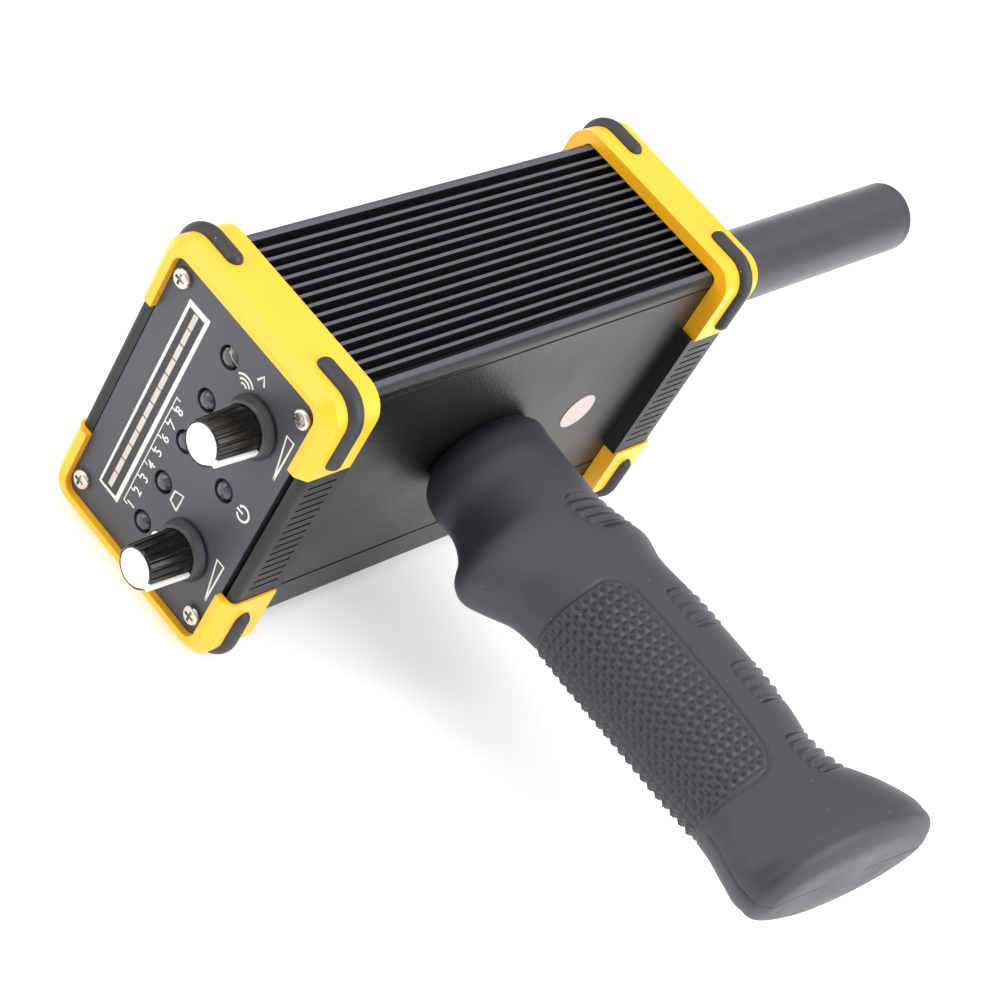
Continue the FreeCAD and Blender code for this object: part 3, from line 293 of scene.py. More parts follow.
# Screen-printed ink: flat warm white.
PRINT_INK = Finish("screen_print_white", "#E9E7E0", "#DDDBD3", 0.55, grain_mm=0.2, grain_depth_mm=0.004,
                   mottle_mm=4.0)
# Smoked window of the level display.
SMOKED_WINDOW = Finish("smoked_polycarbonate", "#1D1D20", "#18181B", 0.3, grain_mm=0.5, grain_depth_mm=0.004)
# Milky diffusers of the level display.
MILKY_DIFFUSER = Finish("milky_diffuser", "#CDC2B8", "#C0B4AA", 0.42, grain_mm=0.4, grain_depth_mm=0.004,
                        mottle_mm=4.0, scatter=0.15)
# Tinted epoxy lamp: smoky, glossy and a little see-through.
TINTED_EPOXY = Finish("tinted_epoxy", "#5B5866", "#4A4856", 0.08, ior=1.54, grain_mm=1.0,
                      grain_depth_mm=0.001, mottle_mm=3.0, roughness_swing=0.02, transmission=0.35)
# Water-clear epoxy lamp.
CLEAR_EPOXY = Finish("clear_epoxy", "#DADADA", "#C8C8CA", 0.05, ior=1.54, grain_mm=1.0, grain_depth_mm=0.001,
                     roughness_swing=0.02, transmission=0.9)
# Satin dark tube: drawn, blasted and anodised, with a soft streak of light along it.
ANODISED_TUBE = Finish("anodised_tube_black", "#36363D", "#303037", 0.36, ior=1.5, grain_mm=0.25,
                       grain_depth_mm=0.012, mottle_mm=20.0)
# Zinc-plated steel, turned or stamped.
ZINC_STEEL = Finish("zinc_plated_steel", "#B5B6B8", "#97989B", 0.34, metallic=1.0, grain_mm=0.3,
                    grain_depth_mm=0.004, stretch=(1.0, 0.15, 1.0), mottle_mm=5.0)
# Turned aluminium with feed marks.
TURNED_ALUMINIUM = Finish("turned_aluminium", "#C9CACC", "#B2B3B6", 0.3, metallic=1.0, grain_mm=0.3,
                          grain_depth_mm=0.004, stretch=(0.2, 1.0, 0.2))
# Green solder mask over glass laminate.
SOLDER_MASK = Finish("solder_mask_green", "#1E5A34", "#17492A", 0.35, grain_mm=0.6, grain_depth_mm=0.006)
# Epoxy chip bodies.
CHIP_EPOXY = Finish("moulded_epoxy_black", "#232325", "#1C1C1E", 0.55, grain_mm=0.2, grain_depth_mm=0.01)
# Shrink sleeve of the cells.
CELL_SLEEVE = Finish("shrink_sleeve_blue", "#2B4A86", "#253F73", 0.3, grain_mm=0.8, grain_depth_mm=0.004)
# Sintered ferrite rod.
SINTERED_FERRITE = Finish("sintered_ferrite", "#3A3A3C", "#2F2F31", 0.6, grain_mm=0.3, grain_depth_mm=0.02)
# Enamelled copper wire, close wound; its turns run round the rod.
COPPER_WINDING = Finish("enamelled_copper_winding", "#B5652B", "#9A5220", 0.3, metallic=1.0, grain_mm=0.5,
                        grain_depth_mm=0.05, stretch=(0.02, 1.0, 0.02))
# Closed-cell foam collars.
CELL_FOAM = Finish("closed_cell_foam", "#4A4A4C", "#3E3E40", 0.85, grain_mm=0.8, grain_depth_mm=0.08)
# Glass-filled nylon core of the grip.
FILLED_NYLON = Finish("glass_filled_nylon", "#2B2B2D", "#232325", 0.6, grain_mm=0.5, grain_depth_mm=0.02)
# Blank paper-backed label, slightly mottled.
PALE_LABEL = Finish("blank_label", "#C9BDB5", "#AFA29B", 0.4, grain_mm=0.7, grain_depth_mm=0.01,
                    mottle_mm=1.6)

SLOT_FINISH = {
    "case_black": ANODISED_CASE,
    "panel_black": ANODISED_PANEL,
    "frame_black": MOULDED_NYLON,
    "guard_yellow": YELLOW_ABS,
    "bumper_rubber": BUMPER_RUBBER,
    "screw_nickel": NICKEL_PLATE,
    "display_dark": SMOKED_WINDOW,
    "display_cream": MILKY_DIFFUSER,
    "lamp_smoke": TINTED_EPOXY,
    "lamp_clear": CLEAR_EPOXY,
    "knob_black": GLOSS_KNOB,
    "marker_white": WHITE_INSERT,
    "control_metal": ZINC_STEEL,
    "board_green": SOLDER_MASK,
    "chip_black": CHIP_EPOXY,
    "holder_black": MOULDED_NYLON,
    "cell_wrap": CELL_SLEEVE,
    "contact_steel": ZINC_STEEL,
    "tube_black": ANODISED_TUBE,
    "socket_alloy": TURNED_ALUMINIUM,
    "core_ferrite": SINTERED_FERRITE,
    "coil_copper": COPPER_WINDING,
    "collar_foam": CELL_FOAM,
    "grip_rubber": GRIP_RUBBER,
    "core_plastic": FILLED_NYLON,
    "badge_grey": PALE_LABEL,
}


# ------------------------------------------------------------------ modelling


def deselect() -> None:
    """Leave object mode with nothing selected."""
    if bpy.context.object is not None and bpy.context.object.mode != "OBJECT":
        bpy.ops.object.mode_set(mode="OBJECT")
    bpy.ops.object.select_all(action="DESELECT")


def choose(thing: bpy.types.Object) -> None:
    """Make one object the only one selected, and active.

    Args:
        thing: the object.
    """
    deselect()
    thing.select_set(True)
    bpy.context.view_layer.objects.active = thing


def tidy(thing: bpy.types.Object, merge_mm: float = 0.002) -> None:
    """Merge doubled points and point every face outwards.

    Args:
        thing: the mesh object.
        merge_mm: how near two points are merged.
    """
    choose(thing)
    bpy.ops.object.mode_set(mode="EDIT")
    bpy.ops.mesh.select_all(action="SELECT")
    bpy.ops.mesh.remove_doubles(threshold=merge_mm * MM)
    bpy.ops.mesh.normals_make_consistent(inside=False)
    bpy.ops.object.mode_set(mode="OBJECT")


def settle(thing: bpy.types.Object) -> None:
    """Put an object's place into its mesh."""
    choose(thing)
    bpy.ops.object.transform_apply(location=True, rotation=True, scale=True)


def soften(thing: bpy.types.Object, degrees: float = 35.0) -> None:
    """Shade an object smooth, but for edges sharper than an angle."""
    choose(thing)
    bpy.ops.object.shade_smooth_by_angle(angle=math.radians(degrees))


def break_edges(thing: bpy.types.Object, width_mm: float, segments: int = 2, degrees: float = 40.0) -> None:
    """Round the sharp edges with an applied bevel.

    Args:
        thing: the mesh object.
        width_mm: width of the bevel.
        segments: faces across it.
        degrees: the least angle that counts as sharp.
    """
    choose(thing)
    easing = thing.modifiers.new("broken_edges", "BEVEL")
    easing.width = width_mm * MM
    easing.segments = segments
    easing.limit_method = "ANGLE"
    easing.angle_limit = math.radians(degrees)
    easing.miter_outer = "MITER_ARC"
    easing.use_clamp_overlap = True
    bpy.ops.object.modifier_apply(modifier=easing.name)


def mount(thing: bpy.types.Object, body: str, slot: str, finish: Finish, *nodes: str) -> None:
    """Dress a finished piece and fix it to its body.

    Args:
        thing: the piece, at the origin.
        body: the body that it rides on.
        slot: the record's material slot; not used.
        finish: its surface.
        nodes: CAD nodes that it stands for.
    """
    thing.data.materials.clear()
    thing.data.materials.append(finish.material())
    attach(thing, body)
    if nodes:
        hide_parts(*nodes)
    log.info("%-28s %6d faces on %s", thing.name, len(thing.data.polygons), body)


def worked_copy(node: str, name: str, width_mm: float, degrees: float = 40.0,
                segments: int = 2) -> bpy.types.Object:
    """Copy a CAD node's mesh, join its loose triangles and break its edges.

    Args:
        node: the CAD node.
        name: name of the new piece.
        width_mm: width of the broken edge.
        degrees: the least angle that counts as an edge.
        segments: faces across a broken edge.

    Returns:
        The new piece.
    """
    source = frame["nodes"][node]
    mesh = source.data.copy()
    piece = bpy.data.objects.new(name, mesh)
    bpy.context.scene.collection.objects.link(piece)
    choose(piece)
    if mesh.has_custom_normals:
        bpy.ops.mesh.customdata_custom_splitnormals_clear()
    bpy.ops.object.mode_set(mode="EDIT")
    bpy.ops.mesh.select_all(action="SELECT")
    bpy.ops.mesh.remove_doubles(threshold=MERGE_MM * MM)
    bpy.ops.mesh.dissolve_limited(angle_limit=math.radians(FLAT_DEGREES))
    bpy.ops.mesh.select_all(action="SELECT")
    bpy.ops.mesh.vert_connect_concave()
    bpy.ops.object.mode_set(mode="OBJECT")
    break_edges(piece, width_mm, segments, degrees)
    soften(piece)
    weighting = piece.modifiers.new("flat_faces_stay_flat", "WEIGHTED_NORMAL")
    weighting.keep_sharp = True
    weighting.weight = FULL_WEIGHT
    bpy.ops.object.modifier_apply(modifier=weighting.name)
    return piece


def turned(name: str, profile: Profile, centre: tuple[float, float], steps: int) -> bpy.types.Object:
    """Turn a profile about an axis that runs forwards and back, like work on a lathe.

    Args:
        name: name of the piece.
        profile: radius and height in front of the panel's face, in millimetres.
        centre: the axis's place across X and Z, in metres.
        steps: faces round the turn.

    Returns:
        The turned mesh, with its place in its points.
    """
    deselect()
    across, beside = centre
    start = Vector((across + profile[0][0] * MM, PANEL_FACE - profile[0][1] * MM, beside))
    bpy.ops.mesh.primitive_plane_add(size=SEED_MM * MM, location=start)
    piece = bpy.context.object
    piece.name = name
    bpy.ops.object.mode_set(mode="EDIT")
    bpy.ops.mesh.select_all(action="SELECT")
    bpy.ops.mesh.merge(type="CENTER")
    for (radius, height), (last_radius, last_height) in zip(profile[1:], profile[:-1]):
        step = ((radius - last_radius) * MM, (last_height - height) * MM, 0.0)
        bpy.ops.mesh.extrude_region_move(TRANSFORM_OT_translate={"value": step})
    bpy.ops.mesh.select_all(action="SELECT")
    bpy.ops.mesh.spin(steps=steps, angle=2.0 * math.pi, center=(across, start.y, beside),
                      axis=(0.0, 1.0, 0.0))
    bpy.ops.object.mode_set(mode="OBJECT")
    settle(piece)
    tidy(piece)
    soften(piece)
    return piece


def joined(things: list[bpy.types.Object], name: str) -> bpy.types.Object:
    """Join several meshes into one piece.

    Args:
        things: the meshes.
        name: name of the piece.

    Returns:
        The joined piece.
    """
    deselect()
    for thing in things:
        thing.select_set(True)
    bpy.context.view_layer.objects.active = things[0]
    bpy.ops.object.join()
    things[0].name = name
    return things[0]


def points_of(mesh: bpy.types.Mesh) -> np.ndarray:
    """Read a mesh's points.

    Args:
        mesh: the mesh.

    Returns:
        The points, one row each, in metres.
    """
    flat = np.zeros(len(mesh.vertices) * 3)
    mesh.vertices.foreach_get("co", flat)
    return flat.reshape(-1, 3)


def set_points(mesh: bpy.types.Mesh, points: np.ndarray) -> None:
    """Move a mesh's points to new places."""
    mesh.vertices.foreach_set("co", points.astype(np.float32).ravel())
    mesh.update()


# ------------------------------------------------------------------ case


@dataclass
class Case:
    """The finned extrusion, its end frames, corner guards, bumpers and screws."""

    shell_edge_mm: float = 0.4
    shell_edge_faces: int = 3
    frame_edge_mm: float = 0.25
    guard_edge_mm: float = 0.45
    bumper_edge_mm: float = 0.12
    bumper_degrees: float = 60.0
    screw_edge_mm: float = 0.08
    mouth_mm: float = 27.2
    mouth_deep_mm: float = 4.0
    lip_grow_mm: float = 1.3
    lip_reach_mm: float = 0.3
    ends: tuple[str, str] = ("front", "rear")
    sides: tuple[str, str] = ("right", "left")
    halves: tuple[str, str] = ("upper", "lower")

    def shells(self) -> None:
        """Break the fins' edges so that they catch the light."""
        for half in self.halves:
            node = half + "_shell"
            piece = worked_copy(node, node + "_extrusion", self.shell_edge_mm, segments=self.shell_edge_faces)
            mount(piece, CASE, "case_black", ANODISED_CASE, node)

    def close_top_gap(self, piece: bpy.types.Object) -> None:
        """Bring the front frame's lip close to the panel along its top side.

        Args:
            piece: the front frame.
        """
        points = points_of(piece.data)
        ahead = points[:, 1] < PANEL_FACE + (self.mouth_deep_mm + self.lip_reach_mm) * MM
        wall = ahead & (np.abs(points[:, 0] + self.mouth_mm * MM) < self.lip_reach_mm * MM)
        points[wall, 0] += self.lip_grow_mm * MM
        set_points(piece.data, points)

    def frames(self) -> None:
        """Give the ribbed frames their moulded edges."""
        for end in self.ends:
            node = end + "_frame"
            piece = worked_copy(node, node + "_moulding", self.frame_edge_mm)
            if end == "front":
                self.close_top_gap(piece)
            mount(piece, CASE, "frame_black", MOULDED_NYLON, node)

    def guards(self) -> None:
        """Round the yellow corner guards' edges."""
        for end in self.ends:
            for side in self.sides:
                node = "%s_guard_%s" % (end, side)
                mount(worked_copy(node, node + "_moulding", self.guard_edge_mm), CASE, "guard_yellow",
                      YELLOW_ABS, node)

    def bumpers(self) -> None:
        """Join and smooth the rubber strips."""
        for end in self.ends:
            for side in self.sides:
                for half in self.halves:
                    node = "_".join(("bumper", end, side, half))
                    piece = worked_copy(node, node + "_strip", self.bumper_edge_mm, self.bumper_degrees)
                    mount(piece, CASE, "bumper_rubber", BUMPER_RUBBER, node)

    def screws(self) -> None:
        """Ease the cross recesses of the panel screws."""
        for end in self.ends:
            node = end + "_panel_screws"
            mount(worked_copy(node, node + "_heads", self.screw_edge_mm), CASE, "screw_nickel", NICKEL_PLATE,
                  node)

    def build(self) -> None:
        """Build every piece of the case."""
        self.shells()
        self.frames()
        self.guards()
        self.bumpers()
        self.screws()


# ------------------------------------------------------------------ controls


@dataclass
class RotaryKnob:
    """A gloss fluted knob on a matte skirt, with a white drop-shaped insert."""

    side: Side
    flutes: int = 18
    steps: int = 144
    flute_mm: float = 0.42
    flute_curve: float = 0.6
    flute_from_mm: float = 5.2
    flute_span_mm: tuple[float, float] = (3.3, 15.4)
    flute_degrees: float = 30.0
    skirt_steps: int = 96
    disc_mm: float = 4.75
    disc_points: int = 96
    disc_thick_mm: float = 0.5
    disc_high_mm: float = 15.68
    tip_mm: float = 5.98
    line_mm: tuple[float, float, float] = (0.9, 1.7, 12.2)
    line_out_mm: float = 5.62
    line_low_mm: float = 6.15
    line_lean_mm: float = 0.42
    insert_edge_mm: float = 0.12
    turn_degrees: float = 11.0
    body: Profile = field(default_factory=lambda: [
        (0.0, 3.4), (4.3, 3.4), (4.3, 2.5), (5.6, 2.5), (5.88, 2.7), (5.88, 4.6), (5.72, 9.0), (5.52, 14.6),
        (5.44, 15.25), (5.28, 15.55), (5.05, 15.7), (4.93, 15.66), (4.88, 15.5), (4.86, 15.15), (0.0, 15.15)])
    skirt: Profile = field(default_factory=lambda: [
        (5.95, 0.6), (7.4, 0.6), (7.6, 0.68), (7.65, 0.85), (7.6, 1.1), (6.85, 2.65), (6.62, 3.05),
        (6.35, 3.25), (6.05, 3.3), (5.95, 3.2), (5.95, 0.6)])

    def centre(self) -> tuple[float, float]:
        """Return the shaft's place across X and Z, in metres."""
        low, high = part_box(self.side.value + "_control_case")
        return ((low.x + high.x) / 2, (low.z + high.z) / 2)

    def rides(self) -> str:
        """Return the body that the knob turns with."""
        return self.side.value + "_control"

    def fluted_body(self) -> bpy.types.Object:
        """Turn the body and press its flutes in.

        Returns:
            The body of the knob.
        """
        across, beside = self.centre()
        piece = turned(self.side.value + "_knob_fluted_body", self.body, (across, beside), self.steps)
        points = points_of(piece.data)
        height = (PANEL_FACE - points[:, 1]) / MM
        reach = np.hypot(points[:, 0] - across, points[:, 2] - beside)
        angle = np.arctan2(points[:, 2] - beside, points[:, 0] - across)
        groove = np.clip(np.cos(self.flutes * angle), 0.0, 1.0) ** self.flute_curve
        lowest, highest = self.flute_span_mm
        wall = (reach > self.flute_from_mm * MM) & (height > lowest) & (height < highest)
        depth = np.where(wall, self.flute_mm * MM * groove, 0.0)
        scale = np.where(reach > TINY, (reach - depth) / np.maximum(reach, TINY), 1.0)
        points[:, 0] = across + (points[:, 0] - across) * scale
        points[:, 2] = beside + (points[:, 2] - beside) * scale
        set_points(piece.data, points)
        soften(piece, self.flute_degrees)
        return piece

    def disc(self) -> bpy.types.Object:
        """Shape a disc into a drop with one point.

        Returns:
            The drop, flat at the origin with its point along X.
        """
        deselect()
        bpy.ops.mesh.primitive_circle_add(vertices=self.disc_points, radius=self.disc_mm * MM,
                                          fill_type="NGON")
        piece = bpy.context.object
        points = points_of(piece.data)
        angle = np.arctan2(points[:, 1], points[:, 0])
        widest = math.acos(self.disc_mm / self.tip_mm)
        inside = np.abs(angle) < widest
        drop = np.where(inside, self.disc_mm / np.cos(widest - np.abs(angle)), self.disc_mm) * MM
        points[:, 0] = drop * np.cos(angle)
        points[:, 1] = drop * np.sin(angle)
        set_points(piece.data, points)
        bpy.ops.object.mode_set(mode="EDIT")
        bpy.ops.mesh.select_all(action="SELECT")
        down = (0.0, 0.0, -self.disc_thick_mm * MM)
        bpy.ops.mesh.extrude_region_move(TRANSFORM_OT_translate={"value": down})
        bpy.ops.object.mode_set(mode="OBJECT")
        return piece

    def line(self) -> bpy.types.Object:
        """Shape the line that runs from the drop's point down the side of the knob.

        Returns:
            The line, leaning out at its foot.
        """
        bpy.ops.mesh.primitive_cube_add(size=1.0 * MM)
        piece = bpy.context.object
        piece.scale = self.line_mm
        piece.location = (self.line_out_mm * MM, 0.0, -self.line_low_mm * MM)
        settle(piece)
        points = points_of(piece.data)
        foot = points[:, 2] < -self.line_low_mm * MM
        points[foot, 0] += self.line_lean_mm * MM
        set_points(piece.data, points)
        return piece

    def insert(self) -> bpy.types.Object:
        """Set the white drop and its line into the top and the side of the knob.

        Returns:
            The white insert.
        """
        across, beside = self.centre()
        piece = joined([self.disc(), self.line()], self.side.value + "_knob_white_insert")
        break_edges(piece, self.insert_edge_mm)
        turn = math.radians(self.turn_degrees)
        along = Vector((math.cos(turn), 0.0, -math.sin(turn)))
        out = Vector((0.0, -1.0, 0.0))
        beam = out.cross(along)
        place = Matrix((along, beam, out)).transposed().to_4x4()
        place.translation = Vector((across, PANEL_FACE - self.disc_high_mm * MM, beside))
        piece.data.transform(place)
        tidy(piece)
        soften(piece)
        return piece

    def build(self) -> None:
        """Build the knob's three pieces."""
        name = self.side.value
        mount(self.fluted_body(), self.rides(), "knob_black", GLOSS_KNOB, name + "_knob")
        skirt = turned(name + "_knob_skirt", self.skirt, self.centre(), self.skirt_steps)
        mount(skirt, self.rides(), "knob_black", MATTE_SKIRT)
        mount(self.insert(), self.rides(), "marker_white", WHITE_INSERT, name + "_knob_marker")


@dataclass
class Lamps:
    """The domed lamps that stand in the front panel."""

    row_mm: float = -2.1
    first_mm: float = -27.4
    pitch_mm: float = 14.0
    count: int = 5
    power_mm: tuple[float, float] = (13.1, 0.2)
    smoky_steps: int = 48
    clear_steps: int = 64
    cup_steps: int = 24
    lens: Profile = field(default_factory=lambda: [
        (0.0, -8.6), (2.9, -8.6), (2.9, -7.6), (2.5, -7.5), (2.5, -1.7), (2.44, -1.05), (2.2, -0.25),
        (1.8, 0.3), (1.25, 0.7), (0.65, 0.92), (0.0, 1.0)])
    cup: Profile = field(default_factory=lambda: [
        (0.0, -3.4), (0.75, -3.4), (1.25, -2.3), (1.4, -2.3), (1.4, -6.0), (0.0, -6.0)])

    def places(self) -> list[tuple[float, float]]:
        """Return each lamp's place across X and Z in metres, the power lamp last."""
        row = [(self.row_mm * MM, (self.first_mm + self.pitch_mm * i) * MM) for i in range(self.count)]
        return row + [(self.power_mm[0] * MM, self.power_mm[1] * MM)]

    def build(self) -> None:
        """Build the smoky lamps, the clear lamp and their reflector cups."""
        places = self.places()
        clear = places.pop(self.count - 1)
        smoky = [turned("lamp_lens_%d" % i, self.lens, place, self.smoky_steps)
                 for i, place in enumerate(places)]
        mount(joined(smoky, "indicator_lamp_lenses"), CASE, "lamp_smoke", TINTED_EPOXY, "indicator_lamps")
        single = turned("clear_lamp_lens", self.lens, clear, self.clear_steps)
        mount(single, CASE, "lamp_clear", CLEAR_EPOXY, "clear_lamp")
        cups = [turned("lamp_cup_%d" % i, self.cup, place, self.cup_steps)
                for i, place in enumerate(places + [clear])]
        mount(joined(cups, "lamp_reflector_cups"), CASE, "control_metal", NICKEL_PLATE)


@dataclass
class PanelPrint:
    """The white marks on the front panel: display frame, level scale, digits and plain signs."""

    lift_mm: float = 0.03
    digits: int = 8
    digit_first_mm: float = -26.7
    digit_pitch_mm: float = 4.62
    digit_line_mm: float = 7.0
    digit_high_mm: float = 2.9
    digit_size_ratio: float = 1.25
    digit_thick_mm: float = 0.008
    digit_bold_mm: float = 0.04
    scale_up_mm: float = 9.4
    scale_span_mm: tuple[float, float] = (-27.6, 7.9)
    tick_down_mm: float = 8.0
    tick_lead: float = 0.2
    scale_line_mm: float = 0.42
    border_side_mm: float = 29.7
    border_top_mm: float = 17.75
    border_foot_mm: float = 11.25
    border_meet_mm: float = 11.9
    border_end_place_mm: float = 30.5
    border_thin_mm: float = 1.0
    border_thick_mm: float = 1.35
    border_end_mm: float = 1.8
    sign_line_mm: float = 0.62
    flatness: float = 0.04
    arc_points: int = 25

    def onto_panel(self, mesh: bpy.types.Mesh) -> None:
        """Lay flat work, drawn right and up, on the panel's face.

        Args:
            mesh: the flat work.
        """
        place = Matrix(((0.0, -1.0, 0.0), (0.0, 0.0, -1.0), (1.0, 0.0, 0.0))).to_4x4()
        place.translation = Vector((0.0, PANEL_FACE - self.lift_mm * MM, 0.0))
        mesh.transform(place)

    def strokes(self, name: str, lines: list[Stroke], width_mm: float) -> bpy.types.Object:
        """Draw lines of one width as flat ink.

        Args:
            name: name of the work.
            lines: each line's points, right and up, in millimetres.
            width_mm: width of the line.

        Returns:
            A mesh on the panel's face.
        """
        pen = bpy.data.curves.new(name, "CURVE")
        pen.dimensions = "3D"
        pen.bevel_depth = width_mm / 2 * MM
        pen.bevel_resolution = 1
        pen.use_fill_caps = True
        for line in lines:
            stroke = pen.splines.new("POLY")
            stroke.points.add(len(line) - 1)
            for point, (right, up) in zip(stroke.points, line):
                point.co = (right * MM, up * MM, 0.0, 1.0)
        drawn = bpy.data.objects.new(name, pen)
        bpy.context.scene.collection.objects.link(drawn)
        choose(drawn)
        bpy.ops.object.convert(target="MESH")
        drawn = bpy.context.object
        points = points_of(drawn.data)
        points[:, 2] *= self.flatness
        set_points(drawn.data, points)
        self.onto_panel(drawn.data)
        return drawn

    def digit(self, number: int) -> bpy.types.Object:
        """Set one digit of the level scale.

        Args:
            number: the digit.

        Returns:
            A mesh on the panel's face.
        """
        bpy.ops.object.text_add()
        text = bpy.context.object
        text.name = "scale_digit_%d" % number
        text.data.body = str(number)
        text.data.align_x = "CENTER"
        text.data.align_y = "CENTER"
        text.data.size = self.digit_high_mm * self.digit_size_ratio * MM
        text.data.extrude = self.digit_thick_mm * MM
        text.data.offset = self.digit_bold_mm * MM
        bpy.ops.object.convert(target="MESH")
        text = bpy.context.object
        right = (self.digit_first_mm + self.digit_pitch_mm * (number - 1)) * MM
        text.data.transform(Matrix.Translation((right, self.digit_line_mm * MM, 0.0)))
        self.onto_panel(text.data)
        return text

    def arc(self, centre: tuple[float, float], radius: float, start: float, end: float) -> Stroke:
        """Return points on an arc, in millimetres and degrees."""
        angles = np.radians(np.linspace(start, end, self.arc_points))
        return [(centre[0] + radius * math.cos(a), centre[1] + radius * math.sin(a)) for a in angles]

    def signs(self) -> list[Stroke]:
        """Draw the plain signs beside the lamps and knobs.

        Returns:
            Each line's points: waves, a bar, a ring, a triangle, the power sign, two ramps and an arrow.
        """
        waves = [self.arc((25.6, -4.6), radius, -50, 50) for radius in (1.2, 2.3, 3.4)]
        bar = [(-16.2, -4.6), (-11.2, -4.6), (-12.2, -1.9), (-15.2, -1.9), (-16.2, -4.6)]
        ring = self.arc((-27.4, -3.6), 1.6, 0, 360)
        triangle = [(0.6, -4.6), (2.2, -1.8), (3.8, -4.6), (0.6, -4.6)]
        power = [self.arc((0.2, -20.4), 1.9, 120, 420), [(0.2, -18.2), (0.2, -20.4)]]
        long, foot, top = 6.0, -22.9, -20.4
        ramps = [[(middle - long, foot), (middle + long, foot), (middle + long, top), (middle - long, foot)]
                 for middle in (20.6, -21.9)]
        arrow = [(30.8, -9.4), (33.0, -8.2), (30.8, -7.0)]
        return waves + [bar, ring, triangle] + power + ramps + [arrow]

    def scale(self) -> bpy.types.Object:
        """Draw the level scale's line with a tick before each digit.

        Returns:
            A mesh on the panel's face.
        """
        (left, end), up, down = self.scale_span_mm, self.scale_up_mm, self.tick_down_mm
        lines = [[(left, down), (left, up), (end, up), (end, down)]]
        for i in range(1, self.digits):
            right = self.digit_first_mm - self.digit_pitch_mm * self.tick_lead + self.digit_pitch_mm * i
            lines.append([(right, up), (right, down)])
        return self.strokes("scale_lines", lines, self.scale_line_mm)

    def border(self) -> list[bpy.types.Object]:
        """Draw the display's border: thin on two sides, thick along its foot and at one end.

        Returns:
            Three meshes on the panel's face.
        """
        side, top = self.border_side_mm, self.border_top_mm
        foot, meet = self.border_foot_mm, self.border_meet_mm
        thin, end, end_place = self.border_thin_mm, self.border_end_mm, self.border_end_place_mm
        around = [(-side, meet), (-side, top), (side, top)]
        along = [(-side - thin / 2, foot), (end_place + end / 2, foot)]
        short = [(end_place, top + thin / 2), (end_place, meet)]
        return [self.strokes("display_border_thin", [around], thin),
                self.strokes("display_border_thick", [along], self.border_thick_mm),
                self.strokes("display_border_end", [short], end)]

    def build(self) -> None:
        """Print every mark as one layer of ink."""
        work = [self.scale()] + self.border() + [self.strokes("plain_signs", self.signs(), self.sign_line_mm)]
        work += [self.digit(i + 1) for i in range(self.digits)]
        mount(joined(work, "front_panel_print"), CASE, "marker_white", PRINT_INK)


# ------------------------------------------------------------------ grip


